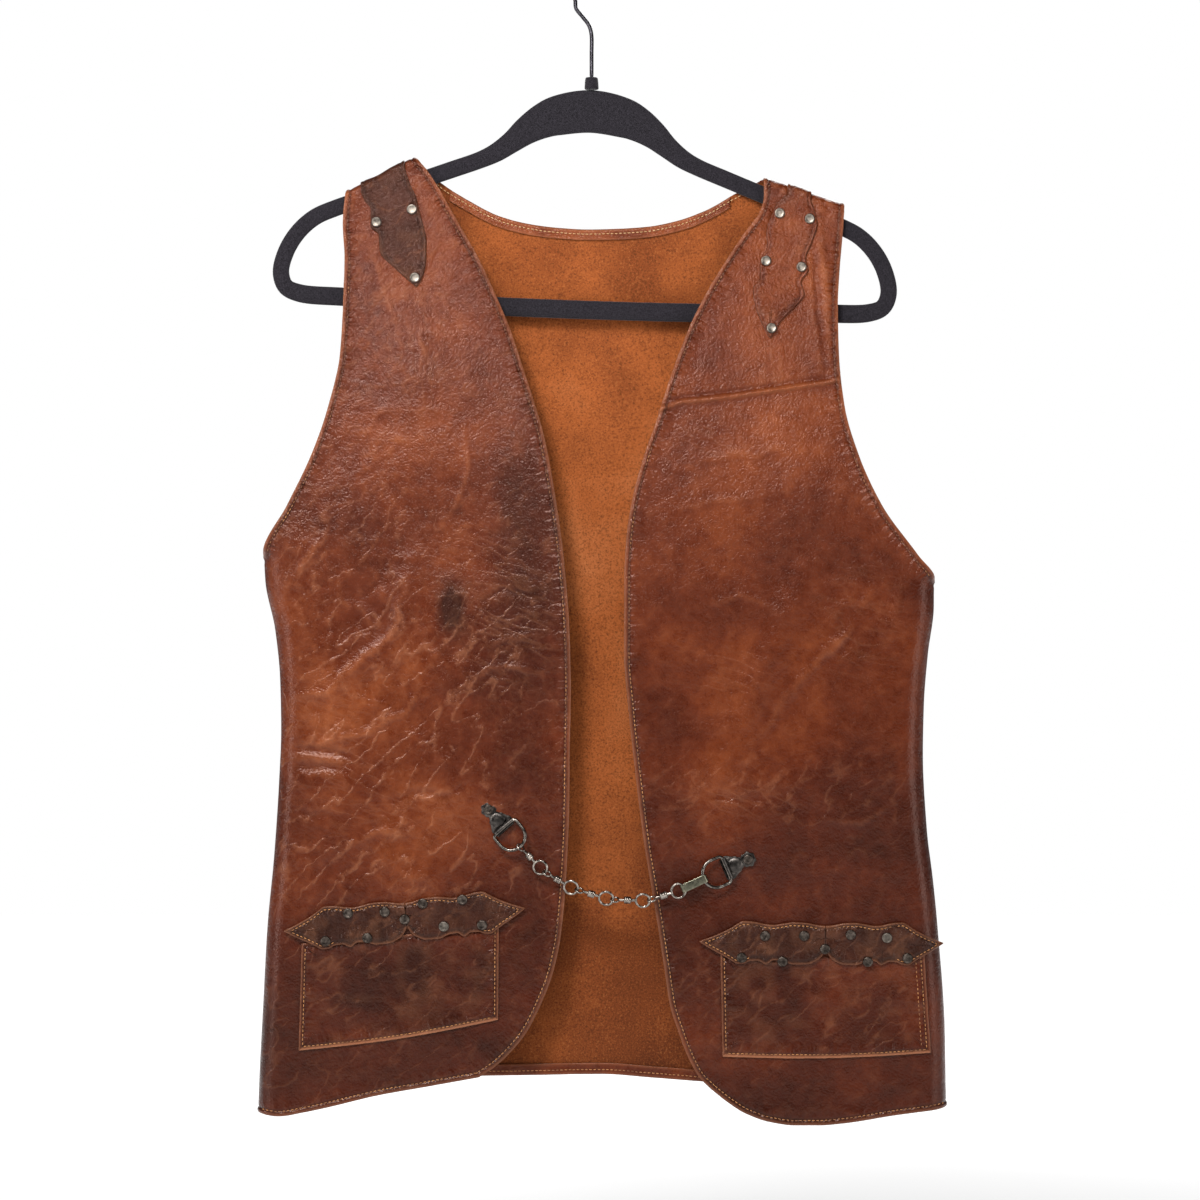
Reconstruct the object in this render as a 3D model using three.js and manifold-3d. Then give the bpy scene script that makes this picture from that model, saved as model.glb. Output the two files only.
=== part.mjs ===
// Unlined brown leather vest with open, cut-away fronts, hung on a flocked hanger with a wire hook.
// Units are millimetres, +Z is up and the fronts face -Y. X is positive on the viewer's right,
// which is the wearer's left. The origin is the underside of the wire at the top of the hook.
import * as THREE from "three";
import { mergeVertices } from "three/addons/utils/BufferGeometryUtils.js";
import Module from "manifold-3d";

// Driving sizes of the cloth.
const CLOTH = 2;
const GAP = 0.3;
const SEAM_DEPTH = GAP / 2;
const FRONT_DEPTH = 17;
const BACK_DEPTH = 12;
const FRONT_SETTLE = 230;
const BACK_SETTLE = 90;
const SIDE_ROLL = 14;
const BACK_ARMHOLE_INSET = 2.5;
const INSET_FADE = 30;
const FOLD_FADE = 40;
const FACING_WIDTH = 8;
const HEM_WIDTH = 9;
const STRIP_THICK = 1.2;
const STRIP_GAP = 0.5;
const PATCH_THICK = 1.6;
const STIFF_SHARE = 0.8;
const PATCH_TURN = [0.9, 3, 6.5];

// Driving sizes of the hanger and its hook.
const HANGER_THICK = 5;
const HANGER_BEVEL = 2;
const HANGER_TILT = THREE.MathUtils.degToRad(2);
const HANGER_PIVOT_Z = -100;
const COLLAR_RADIUS = 5;
const COLLAR_TOP_Z = -92.7;
const COLLAR_BOTTOM_Z = -101;
const WIRE_RADIUS = 1.4;
const HOOK_RADIUS = 21;
const DRAPE = HANGER_THICK / 2 + 0.8 + CLOTH;

// Driving sizes of the metal.
const RIVET_RADIUS = 3.7;
const RIVET_HEIGHT = 1.6;
const CLASP_THICK = 1;
const D_WIRE = 1.2;
const D_HALF_WIDTH = 10;
const D_REACH = 18;
const D_TILT = THREE.MathUtils.degToRad(12);
const ROLL_LENGTH = 15;
const RING_RADIUS = 5;
const RING_WIRE = 0.75;
const EYE_RADIUS = 2.9;
const EYE_WIRE = 0.6;
const BARREL_RADIUS = 2.2;
const LINK_COUNT = 5;
const LINK_STEP = 6.2;
const CONNECTOR_WIDTH = 5.7;
const CONNECTOR_HOLE = 1.6;
const CONNECTOR_WALL = 0.8;

// Armhole and side line of each side, from the shoulder to the hem.
const RIGHT_OUTER = table("z x", [
  [-174, -175], [-197, -177], [-222, -175.7], [-252, -176.4], [-291, -178.6], [-326.6, -186.4],
  [-362, -198.4], [-397.6, -215.5], [-433.8, -233.2], [-451, -232.5], [-486.4, -225.4],
  [-522, -221.9], [-557.4, -221.2], [-593, -222.6], [-646, -226.1], [-699.4, -231.1],
  [-752.6, -234], [-806, -236.8], [-829, -237.5],
]);
const LEFT_OUTER = table("z x", [
  [-183.2, 180], [-205.2, 178.6], [-230.8, 176.4], [-256.3, 175], [-291, 175.7], [-326.6, 179.3],
  [-362, 189.2], [-397.6, 205.5], [-433, 231.1], [-451, 243.9], [-468.6, 243.9], [-504, 239.6],
  [-539.6, 236.8], [-575, 236.1], [-628.4, 238.9], [-664, 243.2], [-699.4, 246.7],
  [-770.4, 251.7], [-825, 252.6],
]);
// Opening edge of each front, from the shoulder to the point where it turns into the hem.
const RIGHT_INNER = table("z x", [
  [-150.2, -124.6], [-162.6, -114.7], [-190.3, -98.3], [-223, -79.9], [-245.7, -69.2],
  [-270.5, -58.6], [-298, -49.3], [-321.6, -41.5], [-351.5, -33], [-394, -25.2], [-436.7, -19.5],
  [-479.3, -16], [-522, -14.6], [-571.6, -15.3], [-621.3, -16], [-664, -18.1], [-703, -21.7],
  [-729, -27.3], [-748, -34.4], [-769.6, -45.1], [-785, -57.2], [-796, -69.2], [-803, -79.9],
]);
const LEFT_INNER = table("z x", [
  [-164.7, 122.5], [-177.5, 122.6], [-187.4, 120.3], [-204.5, 108.3], [-221.5, 96.9],
  [-241.4, 84.8], [-267.7, 71], [-286, 63.5], [-307.4, 55.7], [-336.5, 46.5], [-362, 37.3],
  [-397.6, 28], [-422.5, 24.5], [-451, 23.1], [-504, 23.1], [-539.6, 25.9], [-575, 29.5],
  [-610.6, 33.7], [-642.6, 38], [-680, 44.4], [-725.6, 51.5], [-752.6, 55.7], [-770.4, 61.4],
  [-787.4, 67.8], [-803, 76.3], [-811.5, 84.8],
]);
// Hem of each piece, from the viewer's left to right.
const RIGHT_HEM = table("x z", [
  [-237.5, -829], [-221.2, -830.7], [-204, -828], [-186.4, -824.3], [-151, -815.8],
  [-115.4, -809.4], [-79.9, -803],
]);
const LEFT_HEM = table("x z", [
  [84.8, -811.5], [95.5, -820], [109, -828.6], [126.7, -834.7], [143.8, -837], [160.8, -837],
  [177.9, -835.7], [212.6, -830.3], [252.6, -825],
]);
const BACK_HEM = table("x z", [
  [-237.5, -829], [-150, -814], [-79.2, -805.5], [-36.6, -805], [8.2, -804.4], [40.1, -806.6],
  [82.7, -810], [170, -818], [252.6, -825],
]);
// Shoulder lines with the neckline of the back between them.
const RIDGE = table("x z", [
  [-175, -174], [-162.2, -167.6], [-151.6, -163.3], [-140.9, -157], [-124.6, -150.2],
  [122.5, -164.7], [140.9, -169.7], [158.7, -176], [180, -183.2],
]);
const NECKLINE = table("x z", [
  [-124.6, -150.2], [-107.6, -167], [-87.7, -179.6], [-66.4, -190.3], [-45.1, -196],
  [-23.8, -198.8], [-2.5, -200], [18.8, -199.5], [40.1, -198], [61.4, -193.8], [82.7, -186],
  [104, -174], [122.5, -164.7],
]);
// Where the front and the back would meet beyond each armhole, above the armpit.
const RIGHT_ARMPIT_Z = -433.8;
const LEFT_ARMPIT_Z = -451;
const ARMPIT_FLARE = 1.1;

// Main folds of the fronts and the back: a straight run from one end to the other, its height
// (negative for a trough) and half width, in the piece named.
const FOLDS = table("piece x1 z1 x2 z2 high half", [
  ["front_left", 150, -445, 95, -585, 1.8, 11],
  ["front_left", 160, -180, 162, -300, 1.2, 8],
  ["front_right", -184, -525, -140, -500, 1.8, 10],
  ["front_right", -140, -500, -128, -440, 1.6, 10],
  ["front_right", -222, -573, -172, -578, -2, 8],
  ["back", -110, -780, -80, -560, 2.2, 16],
  ["back", 95, -770, 60, -520, 2.4, 18],
  ["back", -5, -235, -2, -420, 1.4, 14],
  ["back", 205, -520, 120, -470, 2, 14],
]);
// The long ridge across the upper left front, above a groove of its own.
const CREASE = table("x z", [[52.2, -328.5], [84.1, -322.6], [123.9, -317], [167.9, -310.6]]);
const CREASE_HIGH = 2.6;
const CREASE_HALF = 3.6;
const CREASE_ENDS = [46, 176];
const GROOVE_SHARE = 0.5;
const GROOVE_OFF = 1.9;
const FOLD_END = 0.15;

// Corners of the pockets, at their cut edges.
const POCKETS = table("name side tlx tlz blx blz brx brz trx trz", [
  ["pocket_right", "right", -205, -708, -207.3, -784, -66, -762, -65.6, -696],
  ["pocket_left", "left", 91.2, -714.8, 92.7, -788.2, 240, -785.4, 235.4, -714.2],
]);
// One half of a pocket's trim, from the notch at its middle to its tip.
const TRIM_HALF = table("along top bottom", [
  [0.2, 3, 20.5], [3, 2.8, 25], [7, 2.2, 28], [13, 1, 30.3], [22, 0.6, 30.5], [30, 1.8, 28],
  [35.5, 2.6, 27.6], [40.6, 2.2, 30.4], [46, 1, 28], [51.3, 0.2, 28.2], [56, 0, 30], [60, 2, 30.2],
  [64, 4.6, 28], [70, 7.8, 24.4], [78, 11.4, 20], [86, 14.4, 15],
]);
const TRIMS = table("name side x z tilt toward reach", [
  ["trim_right_outer", "right", -132.3, -676.3, 5.4, -1, 1.01],
  ["trim_right_inner", "right", -132.3, -676.3, 5.4, 1, 0.98],
  ["trim_left_inner", "left", 165.8, -692.6, -0.5, -1, 1.04],
  ["trim_left_outer", "left", 165.8, -692.6, -0.5, 1, 0.97],
]);
// Both edges of each shoulder patch from the shoulder line down to its point.
const PATCH_RIGHT = table("lx lz rx rz", [
  [-164, -169.3, -132.6, -154.5], [-162.2, -179.5, -129.6, -168], [-156.9, -187.6, -125, -178],
  [-156.9, -199.2, -122.2, -189.7], [-151.4, -205.3, -119.4, -199.9], [-150.4, -217.6, -117.4, -210.8],
  [-140.5, -228.4, -118.1, -227.1], [-131, -237.2, -120.4, -235.9], [-124.8, -242.4, -123.6, -242],
]);
const PATCH_LEFT = table("lx lz rx rz", [
  [139.4, -170.8, 156.1, -176.2], [131.8, -183, 158.7, -189.6], [124.3, -203.2, 160.5, -198.1],
  [124.7, -213.1, 157, -209.8], [119.7, -225.7, 152.3, -222.3], [119.7, -237.1, 154.2, -230.3],
  [114.5, -244.2, 149, -239.1], [116.4, -256.7, 151.1, -247.9], [121.8, -270.9, 133.5, -268],
  [126.2, -278.9, 127.4, -278.9],
]);
const RIVETS = table("name side x z layer", [
  ["rivet_patch_right_", "right", -127.6, -187.5, "patch"],
  ["rivet_patch_right_", "right", -152.7, -196.4, "patch"],
  ["rivet_patch_right_", "right", -125.6, -236.3, "patch"],
  ["rivet_patch_left_", "left", 133.8, -190.1, "patch"],
  ["rivet_patch_left_", "left", 155.3, -194, "patch"],
  ["rivet_patch_left_", "left", 124, -224.2, "patch"],
  ["rivet_patch_left_", "left", 149.2, -228.4, "patch"],
  ["rivet_patch_left_", "left", 127.7, -272.4, "patch"],
  ["rivet_trim_right_", "right", -172.1, -686.4, "trim"],
  ["rivet_trim_right_", "right", -146.2, -685.4, "trim"],
  ["rivet_trim_right_", "right", -119.4, -679.5, "trim"],
  ["rivet_trim_right_", "right", -91.4, -676.8, "trim"],
  ["rivet_trim_right_", "right", -132.1, -690.7, "trim"],
  ["rivet_trim_right_", "right", -187.9, -706.2, "trim"],
  ["rivet_trim_right_", "right", -158.5, -703.9, "trim"],
  ["rivet_trim_right_", "right", -104.4, -695.7, "trim"],
  ["rivet_trim_right_", "right", -77.3, -694.8, "trim"],
  ["rivet_trim_left_", "left", 122.7, -702.5, "trim"],
  ["rivet_trim_left_", "left", 150.4, -702.5, "trim"],
  ["rivet_trim_left_", "left", 183.2, -701.6, "trim"],
  ["rivet_trim_left_", "left", 208.9, -703.7, "trim"],
  ["rivet_trim_left_", "left", 165.1, -711.8, "trim"],
  ["rivet_trim_left_", "left", 106.2, -717.9, "trim"],
  ["rivet_trim_left_", "left", 135, -720.7, "trim"],
  ["rivet_trim_left_", "left", 195.3, -720.8, "trim"],
  ["rivet_trim_left_", "left", 223.4, -718.3, "trim"],
]);
// The two clasps: middle of the rolled end, its direction and the place of the rivet behind it.
const CLASPS = table("name side x z turn", [
  ["right", "right", -61.9, -626, -49.2],
  ["left", "left", 95.4, -655.2, 203],
]);
const CLASP_RIVET_BACK = 16.8;
// Run of the chain between the two rings, as it hangs.
const CHAIN_RUN = table("x z", [
  [-50, -639.7], [-37.3, -652.9], [-22.4, -664.6], [-9, -669.8], [3.2, -674.2], [17.8, -676.8],
  [31, -677.6], [44.5, -675.8], [61.4, -670.4],
]);

// Half of the hanger's middle line, from the neck round the shoulder end to the middle of the bar.
const HANGER_LINE = table("x z wide", [
  [0, -116.8, 30.5], [23.8, -120.6, 28.5], [34.4, -125, 25], [45.1, -131.8, 20.4],
  [55.7, -140.6, 15.8], [66.4, -148.4, 13.6], [77, -153.8, 12.2], [98.3, -162, 12],
  [140, -177.6, 11.8], [180, -192.2, 11.8], [194.2, -199.2, 11.8], [205.5, -210, 11.8],
  [213.5, -224, 11.8], [216.7, -239, 11.8], [213, -249, 12], [203, -253.4, 12.8],
  [170, -255, 13.2], [110, -257, 13.2], [55, -258, 13.2],
]);
const BAR_MIDDLE = { x: 0, z: -258.3, wide: 13.2 };
const HOOK_STEM = table("x z", [
  [0, COLLAR_TOP_Z + GAP], [0, -75], [0, -63], [-1.8, -55.6], [-6.2, -49.6], [-11, -43.4],
]);
const HOOK_FROM_DEG = 236;
const HOOK_TO_DEG = -14;

const LEATHER = { color: 0x7a452f, roughness: 0.5, metalness: 0 };
const SUEDE = { color: 0xa8602a, roughness: 0.9, metalness: 0 };
const DARK_LEATHER = { color: 0x4a2a22, roughness: 0.5, metalness: 0 };
const METAL = { color: 0x6a6560, roughness: 0.35, metalness: 1 };
const FLOCK = { color: 0x262427, roughness: 1, metalness: 0 };
const DARK_WIRE = { color: 0x3a383c, roughness: 0.35, metalness: 1 };

const wasm = await Module();
wasm.setup();
const vest = new THREE.Group();

// Rows of a table as objects, with the names of its columns.
function table(columns, rows) {
  const names = columns.split(" ");
  return rows.map((row) => Object.fromEntries(names.map((name, i) => [name, row[i]])));
}

// Smooth curve through a table that never swings past its points: slopes are harmonic means of
// the neighbouring chords, and the pieces between them are cubics.
function smooth(rows, from, to) {
  const sorted = [...rows].sort((a, b) => a[from] - b[from]);
  const at = sorted.map((row) => row[from]);
  const value = sorted.map((row) => row[to]);
  const chord = at.slice(1).map((x, i) => (value[i + 1] - value[i]) / (x - at[i]));
  const slope = at.map((_, i) => {
    if (i === 0) return chord[0];
    if (i === chord.length) return chord[i - 1];
    const both = chord[i - 1] * chord[i];
    return both <= 0 ? 0 : (2 * both) / (chord[i - 1] + chord[i]);
  });
  return (x) => {
    if (x <= at[0]) return value[0] + slope[0] * (x - at[0]);
    const last = at.length - 1;
    if (x >= at[last]) return value[last] + slope[last] * (x - at[last]);
    const i = at.findIndex((knot) => knot > x) - 1;
    const span = at[i + 1] - at[i];
    const s = (x - at[i]) / span;
    const rise = s * s * (3 - 2 * s);
    return value[i] * (1 - rise) + value[i + 1] * rise
      + span * s * (1 - s) * ((1 - s) * slope[i] - s * slope[i + 1]);
  };
}

const ridgeZ = smooth(RIDGE, "x", "z");
const necklineZ = smooth(NECKLINE, "x", "z");
const creaseZ = smooth(CREASE, "x", "z");
const outerX = { right: smooth(RIGHT_OUTER, "z", "x"), left: smooth(LEFT_OUTER, "z", "x") };
const innerX = { right: smooth(RIGHT_INNER, "z", "x"), left: smooth(LEFT_INNER, "z", "x") };
const hemZ = {
  right: smooth(RIGHT_HEM, "x", "z"),
  left: smooth(LEFT_HEM, "x", "z"),
  back: smooth(BACK_HEM, "x", "z"),
};
const ARMPIT = { right: RIGHT_ARMPIT_Z, left: LEFT_ARMPIT_Z };

const mix = THREE.MathUtils.lerp;
const ease = (s) => THREE.MathUtils.smoothstep(s, 0, 1);
// Rise of a quarter circle: 0 at its foot and 1 from its radius onwards.
const quarter = (s) => Math.sqrt(1 - (1 - THREE.MathUtils.clamp(s, 0, 1)) ** 2);

// Distance in from the side line of a side, which runs on outwards above the armpit.
function inFromSide(side, x, z) {
  const out = side === "right" ? -1 : 1;
  const above = Math.max(0, z - ARMPIT[side]);
  const foldX = above > 0 ? outerX[side](ARMPIT[side]) + out * ARMPIT_FLARE * above : outerX[side](z);
  return out * (foldX - x);
}

// Height that the main folds add to a piece at a place: a bell curve across each run, which
// swells along it from a low end to its middle and back.
function foldsOn(piece, x, z) {
  let high = 0;
  for (const fold of FOLDS.filter((row) => row.piece === piece)) {
    const run = new THREE.Vector2(fold.x2 - fold.x1, fold.z2 - fold.z1);
    const here = new THREE.Vector2(x - fold.x1, z - fold.z1);
    const along = THREE.MathUtils.clamp(here.dot(run) / run.lengthSq(), 0, 1);
    const off = here.distanceTo(run.clone().multiplyScalar(along));
    const swell = Math.sin(Math.PI * mix(FOLD_END, 1 - FOLD_END, along));
    high += fold.high * swell * Math.exp(-((off / fold.half) ** 2));
  }
  if (piece === "front_left" && x > CREASE_ENDS[0] && x < CREASE_ENDS[1]) {
    const off = (z - creaseZ(x)) / CREASE_HALF;
    high += CREASE_HIGH * (Math.exp(-(off ** 2)) - GROOVE_SHARE * Math.exp(-((off - GROOVE_OFF) ** 2)));
  }
  return high;
}

// Depth of the outer face in front of (or behind) the hanger's plane: round over the shoulder
// line, then growing to the full depth, and rolling to the seam at the side.
function depth(piece, x, z) {
  const isBack = piece === "back";
  const side = x < 0 ? "right" : "left";
  const down = ridgeZ(x) - z;
  const full = isBack ? BACK_DEPTH : FRONT_DEPTH;
  const settle = isBack ? BACK_SETTLE : FRONT_SETTLE;
  const roll = quarter(inFromSide(side, x, z) / SIDE_ROLL);
  const flat = ease(down / FOLD_FADE) * ease(inFromSide(side, x, z) / (2 * SIDE_ROLL));
  const over = (DRAPE - SEAM_DEPTH) * quarter(down / DRAPE) + (full - DRAPE) * ease(down / settle);
  return SEAM_DEPTH + roll * over + flat * foldsOn(piece, x, z);
}

// Direction straight out of a piece's face. On a seam it lies in the hanger's plane.
function outward(piece, x, z) {
  const sign = piece === "back" ? 1 : -1;
  const step = 0.05;
  const dx = (depth(piece, x + step, z) - depth(piece, x - step, z)) / (2 * step);
  const dz = (depth(piece, x, z + step) - depth(piece, x, z - step)) / (2 * step);
  const onSeam = depth(piece, x, z) < SEAM_DEPTH + 0.05;
  return new THREE.Vector3(-dx, onSeam ? 0 : sign, -dz).normalize();
}

// A point of a piece's face, moved straight out of it by lift.
function onFace(piece, x, z, lift) {
  const y = (piece === "back" ? 1 : -1) * depth(piece, x, z);
  return new THREE.Vector3(x, y, z).addScaledVector(outward(piece, x, z), lift);
}

// Closed wall between two grids of points with the same rows and columns.
function wall(outer, inner) {
  const rows = outer.length;
  const columns = outer[0].length;
  const points = [...outer.flat(), ...inner.flat()];
  const at = (r, c, face) => face * rows * columns + r * columns + c;
  const faces = [];
  const quad = (a, b, c, d) => faces.push(a, b, c, a, c, d);
  for (let r = 0; r + 1 < rows; r += 1) {
    for (let c = 0; c + 1 < columns; c += 1) {
      quad(at(r, c, 0), at(r + 1, c, 0), at(r + 1, c + 1, 0), at(r, c + 1, 0));
      quad(at(r, c, 1), at(r, c + 1, 1), at(r + 1, c + 1, 1), at(r + 1, c, 1));
    }
  }
  const rim = [];
  for (let r = 0; r + 1 < rows; r += 1) rim.push([r, 0]);
  for (let c = 0; c + 1 < columns; c += 1) rim.push([rows - 1, c]);
  for (let r = rows - 1; r > 0; r -= 1) rim.push([r, columns - 1]);
  for (let c = columns - 1; c > 0; c -= 1) rim.push([0, c]);
  rim.forEach(([r, c], i) => {
    const [nr, nc] = rim[(i + 1) % rim.length];
    quad(at(nr, nc, 0), at(r, c, 0), at(r, c, 1), at(nr, nc, 1));
  });
  return facingOut(points, faces);
}

// Geometry of a closed body, turned so that its faces point outwards.
function facingOut(points, faces) {
  let volume = 0;
  for (let i = 0; i < faces.length; i += 3) {
    const [a, b, c] = [points[faces[i]], points[faces[i + 1]], points[faces[i + 2]]];
    volume += a.dot(new THREE.Vector3().crossVectors(b, c));
  }
  const index = volume < 0 ? [...faces].reverse() : faces;
  const geometry = new THREE.BufferGeometry();
  geometry.setAttribute("position", new THREE.Float32BufferAttribute(points.flatMap((p) => p.toArray()), 3));
  geometry.setIndex(index);
  geometry.computeVertexNormals();
  return geometry;
}

function add(name, geometry, look) {
  const mesh = new THREE.Mesh(geometry, new THREE.MeshStandardMaterial(look));
  mesh.name = name;
  vest.add(mesh);
  return mesh;
}

// Places of a grid between four edges: left and right give a point for a row, top and bottom one
// for a column, and the inside is their bilinear blend.
function between(edges, us, vs) {
  const { top, bottom, left, right } = edges;
  return vs.map((v) => us.map((u) => {
    const place = new THREE.Vector2();
    place.addScaledVector(top(u), 1 - v).addScaledVector(bottom(u), v);
    place.addScaledVector(left(v), 1 - u).addScaledVector(right(v), u);
    place.addScaledVector(top(0), -(1 - u) * (1 - v)).addScaledVector(top(1), -u * (1 - v));
    place.addScaledVector(bottom(0), -(1 - u) * v).addScaledVector(bottom(1), -u * v);
    return place;
  }));
}

// A layer of cloth on a piece's face: its inner face is moved out by lift.
function layer(piece, places, lift, thick) {
  const face = (out) => places.map((row) => row.map((p) => onFace(piece, p.x, p.y, out)));
  return wall(face(lift + thick), face(lift));
}

const point = (x, z) => new THREE.Vector2(x, z);
const even = (count) => Array.from({ length: count + 1 }, (_, i) => i / count);

// Value between the rows of a table with a column for the place and one for the value.
function valueAt(rows, from, to, at) {
  const i = Math.max(0, Math.min(rows.length - 2, rows.findIndex((row) => row[from] > at) - 1));
  const last = at >= rows.at(-1)[from] ? rows.length - 2 : i;
  const s = (at - rows[last][from]) / (rows[last + 1][from] - rows[last][from]);
  return mix(rows[last][to], rows[last + 1][to], s);
}

// Columns crowd at a side roll and rows at the shoulder, where the cloth turns. The steps are
// distances from the edge, made into fractions of a piece's usual length and width.
const ROLL_STEPS = [0, 0.7, 2.8, 6.6, 12, 16];
const SHOULDER_STEPS = [0, 0.5, 1.9, 3.9, 6.2];
const MEAN_LENGTH = 650;
const FRONT_WIDTH = 215;
const BACK_WIDTH = 485;
const FRONT_COLUMNS = 10;

// Row fractions with the shoulder's turn, then the given ones.
function rowsFrom(rest) {
  return [...SHOULDER_STEPS.map((mm) => mm / MEAN_LENGTH), ...rest];
}

function front(side, name, rowTable, rest) {
  const z = (v, edge) => valueAt(rowTable, "v", edge, v);
  const outerEdge = (v) => point(outerX[side](z(v, "outer")), z(v, "outer"));
  const innerEdge = (v) => point(innerX[side](z(v, "inner")), z(v, "inner"));
  const across = (fn) => (from, to) => (u) => {
    const x = mix(from, to, u);
    return point(x, fn(x));
  };
  const roll = ROLL_STEPS.map((mm) => mm / FRONT_WIDTH);
  const us = [...roll, ...even(FRONT_COLUMNS).slice(1).map((u) => mix(roll.at(-1), 1, u))];
  const edges = {
    top: across(ridgeZ)(outerEdge(0).x, innerEdge(0).x),
    bottom: across(hemZ[side])(outerEdge(1).x, innerEdge(1).x),
    left: outerEdge,
    right: innerEdge,
  };
  add(name, layer(name, between(edges, us, rowsFrom(rest)), -CLOTH, CLOTH), LEATHER);
}

const RIGHT_ROWS = table("v outer inner", [[0, -174, -150.2], [0.4, -433.8, -414], [1, -829, -803]]);
const LEFT_ROWS = table("v outer inner", [
  [0, -183.2, -164.7], [0.2, -309, -329.5], [0.42, -451, -446], [1, -825, -811.5],
]);
front("right", "front_right", RIGHT_ROWS, [
  0.02, 0.035, 0.055, ...even(9).slice(1).map((s) => mix(0.055, 0.4, s)),
  ...even(21).slice(1).map((s) => mix(0.4, 1, s)),
]);
const CREASE_ROWS = [-0.022, -0.0165, -0.011, -0.0055, 0, 0.0055, 0.011].map((v) => 0.2 + v);
front("left", "front_left", LEFT_ROWS, [
  0.02, 0.035, 0.055, 0.08, 0.105, 0.13, 0.155, ...CREASE_ROWS,
  ...even(6).slice(1).map((s) => mix(0.22, 0.42, s)), ...even(19).slice(1).map((s) => mix(0.42, 1, s)),
]);

// The back: shoulder, neckline and shoulder along its top, armholes and side lines at its sides.
const NECK_FROM = 0.13;
const NECK_TO = 1 - NECK_FROM;
function back() {
  const [shoulderRight, neckRight, neckLeft, shoulderLeft] = [
    RIDGE[0].x + BACK_ARMHOLE_INSET, NECKLINE[0].x, NECKLINE.at(-1).x, RIDGE.at(-1).x - BACK_ARMHOLE_INSET];
  const top = (u) => {
    if (u <= NECK_FROM) {
      const x = mix(shoulderRight, neckRight, u / NECK_FROM);
      return point(x, ridgeZ(x));
    }
    if (u >= NECK_TO) {
      const x = mix(neckLeft, shoulderLeft, (u - NECK_TO) / (1 - NECK_TO));
      return point(x, ridgeZ(x));
    }
    const x = mix(neckRight, neckLeft, (u - NECK_FROM) / (NECK_TO - NECK_FROM));
    return point(x, necklineZ(x));
  };
  const bottom = (u) => {
    const x = mix(BACK_HEM[0].x, BACK_HEM.at(-1).x, u);
    return point(x, hemZ.back(x));
  };
  const edge = (side, topZ, bottomZ) => (v) => {
    const stations = table("v z", [[0, topZ], [0.4, ARMPIT[side]], [1, bottomZ]]);
    const z = valueAt(stations, "v", "z", v);
    const inset = BACK_ARMHOLE_INSET * ease((z - ARMPIT[side]) / INSET_FADE);
    return point(outerX[side](z) + (side === "right" ? inset : -inset), z);
  };
  const edges = {
    top,
    bottom,
    left: edge("right", top(0).y, bottom(0).y),
    right: edge("left", top(1).y, bottom(1).y),
  };
  const near = ROLL_STEPS.map((mm) => mm / BACK_WIDTH);
  const strap = [0.06, 0.095];
  const corner = [0.145, 0.17];
  const middle = even(8).map((s) => mix(0.2, 0.8, s));
  const neck = [NECK_FROM, ...corner, ...middle, ...corner.map((u) => 1 - u).reverse(), NECK_TO];
  const half = [...near, ...strap];
  const us = [...half, ...neck, ...half.map((u) => 1 - u).reverse()];
  const rest = [0.02, 0.04, 0.065, 0.09, ...even(8).slice(1).map((s) => mix(0.09, 0.4, s)),
    ...even(12).slice(1).map((s) => mix(0.4, 0.98, s)), 1];
  add("back", layer("back", between(edges, us, rowsFrom(rest)), -CLOTH, CLOTH), SUEDE);

  // Strips on the inside share the back's columns: the neck facing and the turned-up hem.
  const strip = (name, columns, vs) => {
    const lift = -CLOTH - STRIP_GAP - STRIP_THICK;
    add(name, layer("back", between(edges, columns, vs), lift, STRIP_THICK), LEATHER);
  };
  const facing = [...SHOULDER_STEPS.slice(1), FACING_WIDTH].map((mm) => mm / MEAN_LENGTH);
  strip("neck_facing", middle, facing);
  strip("back_hem", us.slice(6, -6), [HEM_WIDTH, HEM_WIDTH / 2, 0.4].map((mm) => 1 - mm / MEAN_LENGTH));
}
back();

const frontOf = (side) => `front_${side}`;
const LIFT = { pocket: GAP, patch: GAP, trim: GAP + PATCH_THICK + 2 * GAP };
const TOP_OF = { patch: GAP + PATCH_THICK, trim: LIFT.trim + PATCH_THICK };

// Patch pockets with slightly bowed edges.
for (const p of POCKETS) {
  const line = (x1, z1, x2, z2, bow) => (s) => {
    return point(mix(x1, x2, s), mix(z1, z2, s) + bow * Math.sin(Math.PI * s));
  };
  const edges = {
    top: line(p.tlx, p.tlz, p.trx, p.trz, 0),
    bottom: line(p.blx, p.blz, p.brx, p.brz, -2.5),
    left: line(p.tlx, p.tlz, p.blx, p.blz, 0),
    right: line(p.trx, p.trz, p.brx, p.brz, 0),
  };
  const us = [0, 0.03, 0.07, ...even(6).map((s) => mix(0.12, 0.88, s)), 0.93, 0.97, 1];
  add(p.name, layer(frontOf(p.side), between(edges, us, even(3)), LIFT.pocket, PATCH_THICK), LEATHER);
}

// Depth for a stiff piece that runs on over the side roll instead of bending round it.
function stiffFace(piece, x, z, lift) {
  const least = FRONT_DEPTH * STIFF_SHARE + lift;
  const above = lift / Math.max(Math.abs(outward(piece, x, z).y), 0.5);
  return new THREE.Vector3(x, -Math.max(depth(piece, x, z) + above, least), z);
}

// Pocket trims: two mirrored halves that meet at the notch.
for (const trim of TRIMS) {
  const tilt = THREE.MathUtils.degToRad(trim.tilt);
  const places = even(2).map((v) => TRIM_HALF.map((row) => {
    const along = trim.toward * row.along * trim.reach;
    const down = mix(row.top, row.bottom, v);
    return point(trim.x + along * Math.cos(tilt) + down * Math.sin(tilt),
      trim.z + along * Math.sin(tilt) - down * Math.cos(tilt));
  }));
  const face = (lift) => places.map((row) => row.map((p) => stiffFace(frontOf(trim.side), p.x, p.y, lift)));
  add(trim.name, wall(face(LIFT.trim + PATCH_THICK), face(LIFT.trim)), DARK_LEATHER);
}

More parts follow.
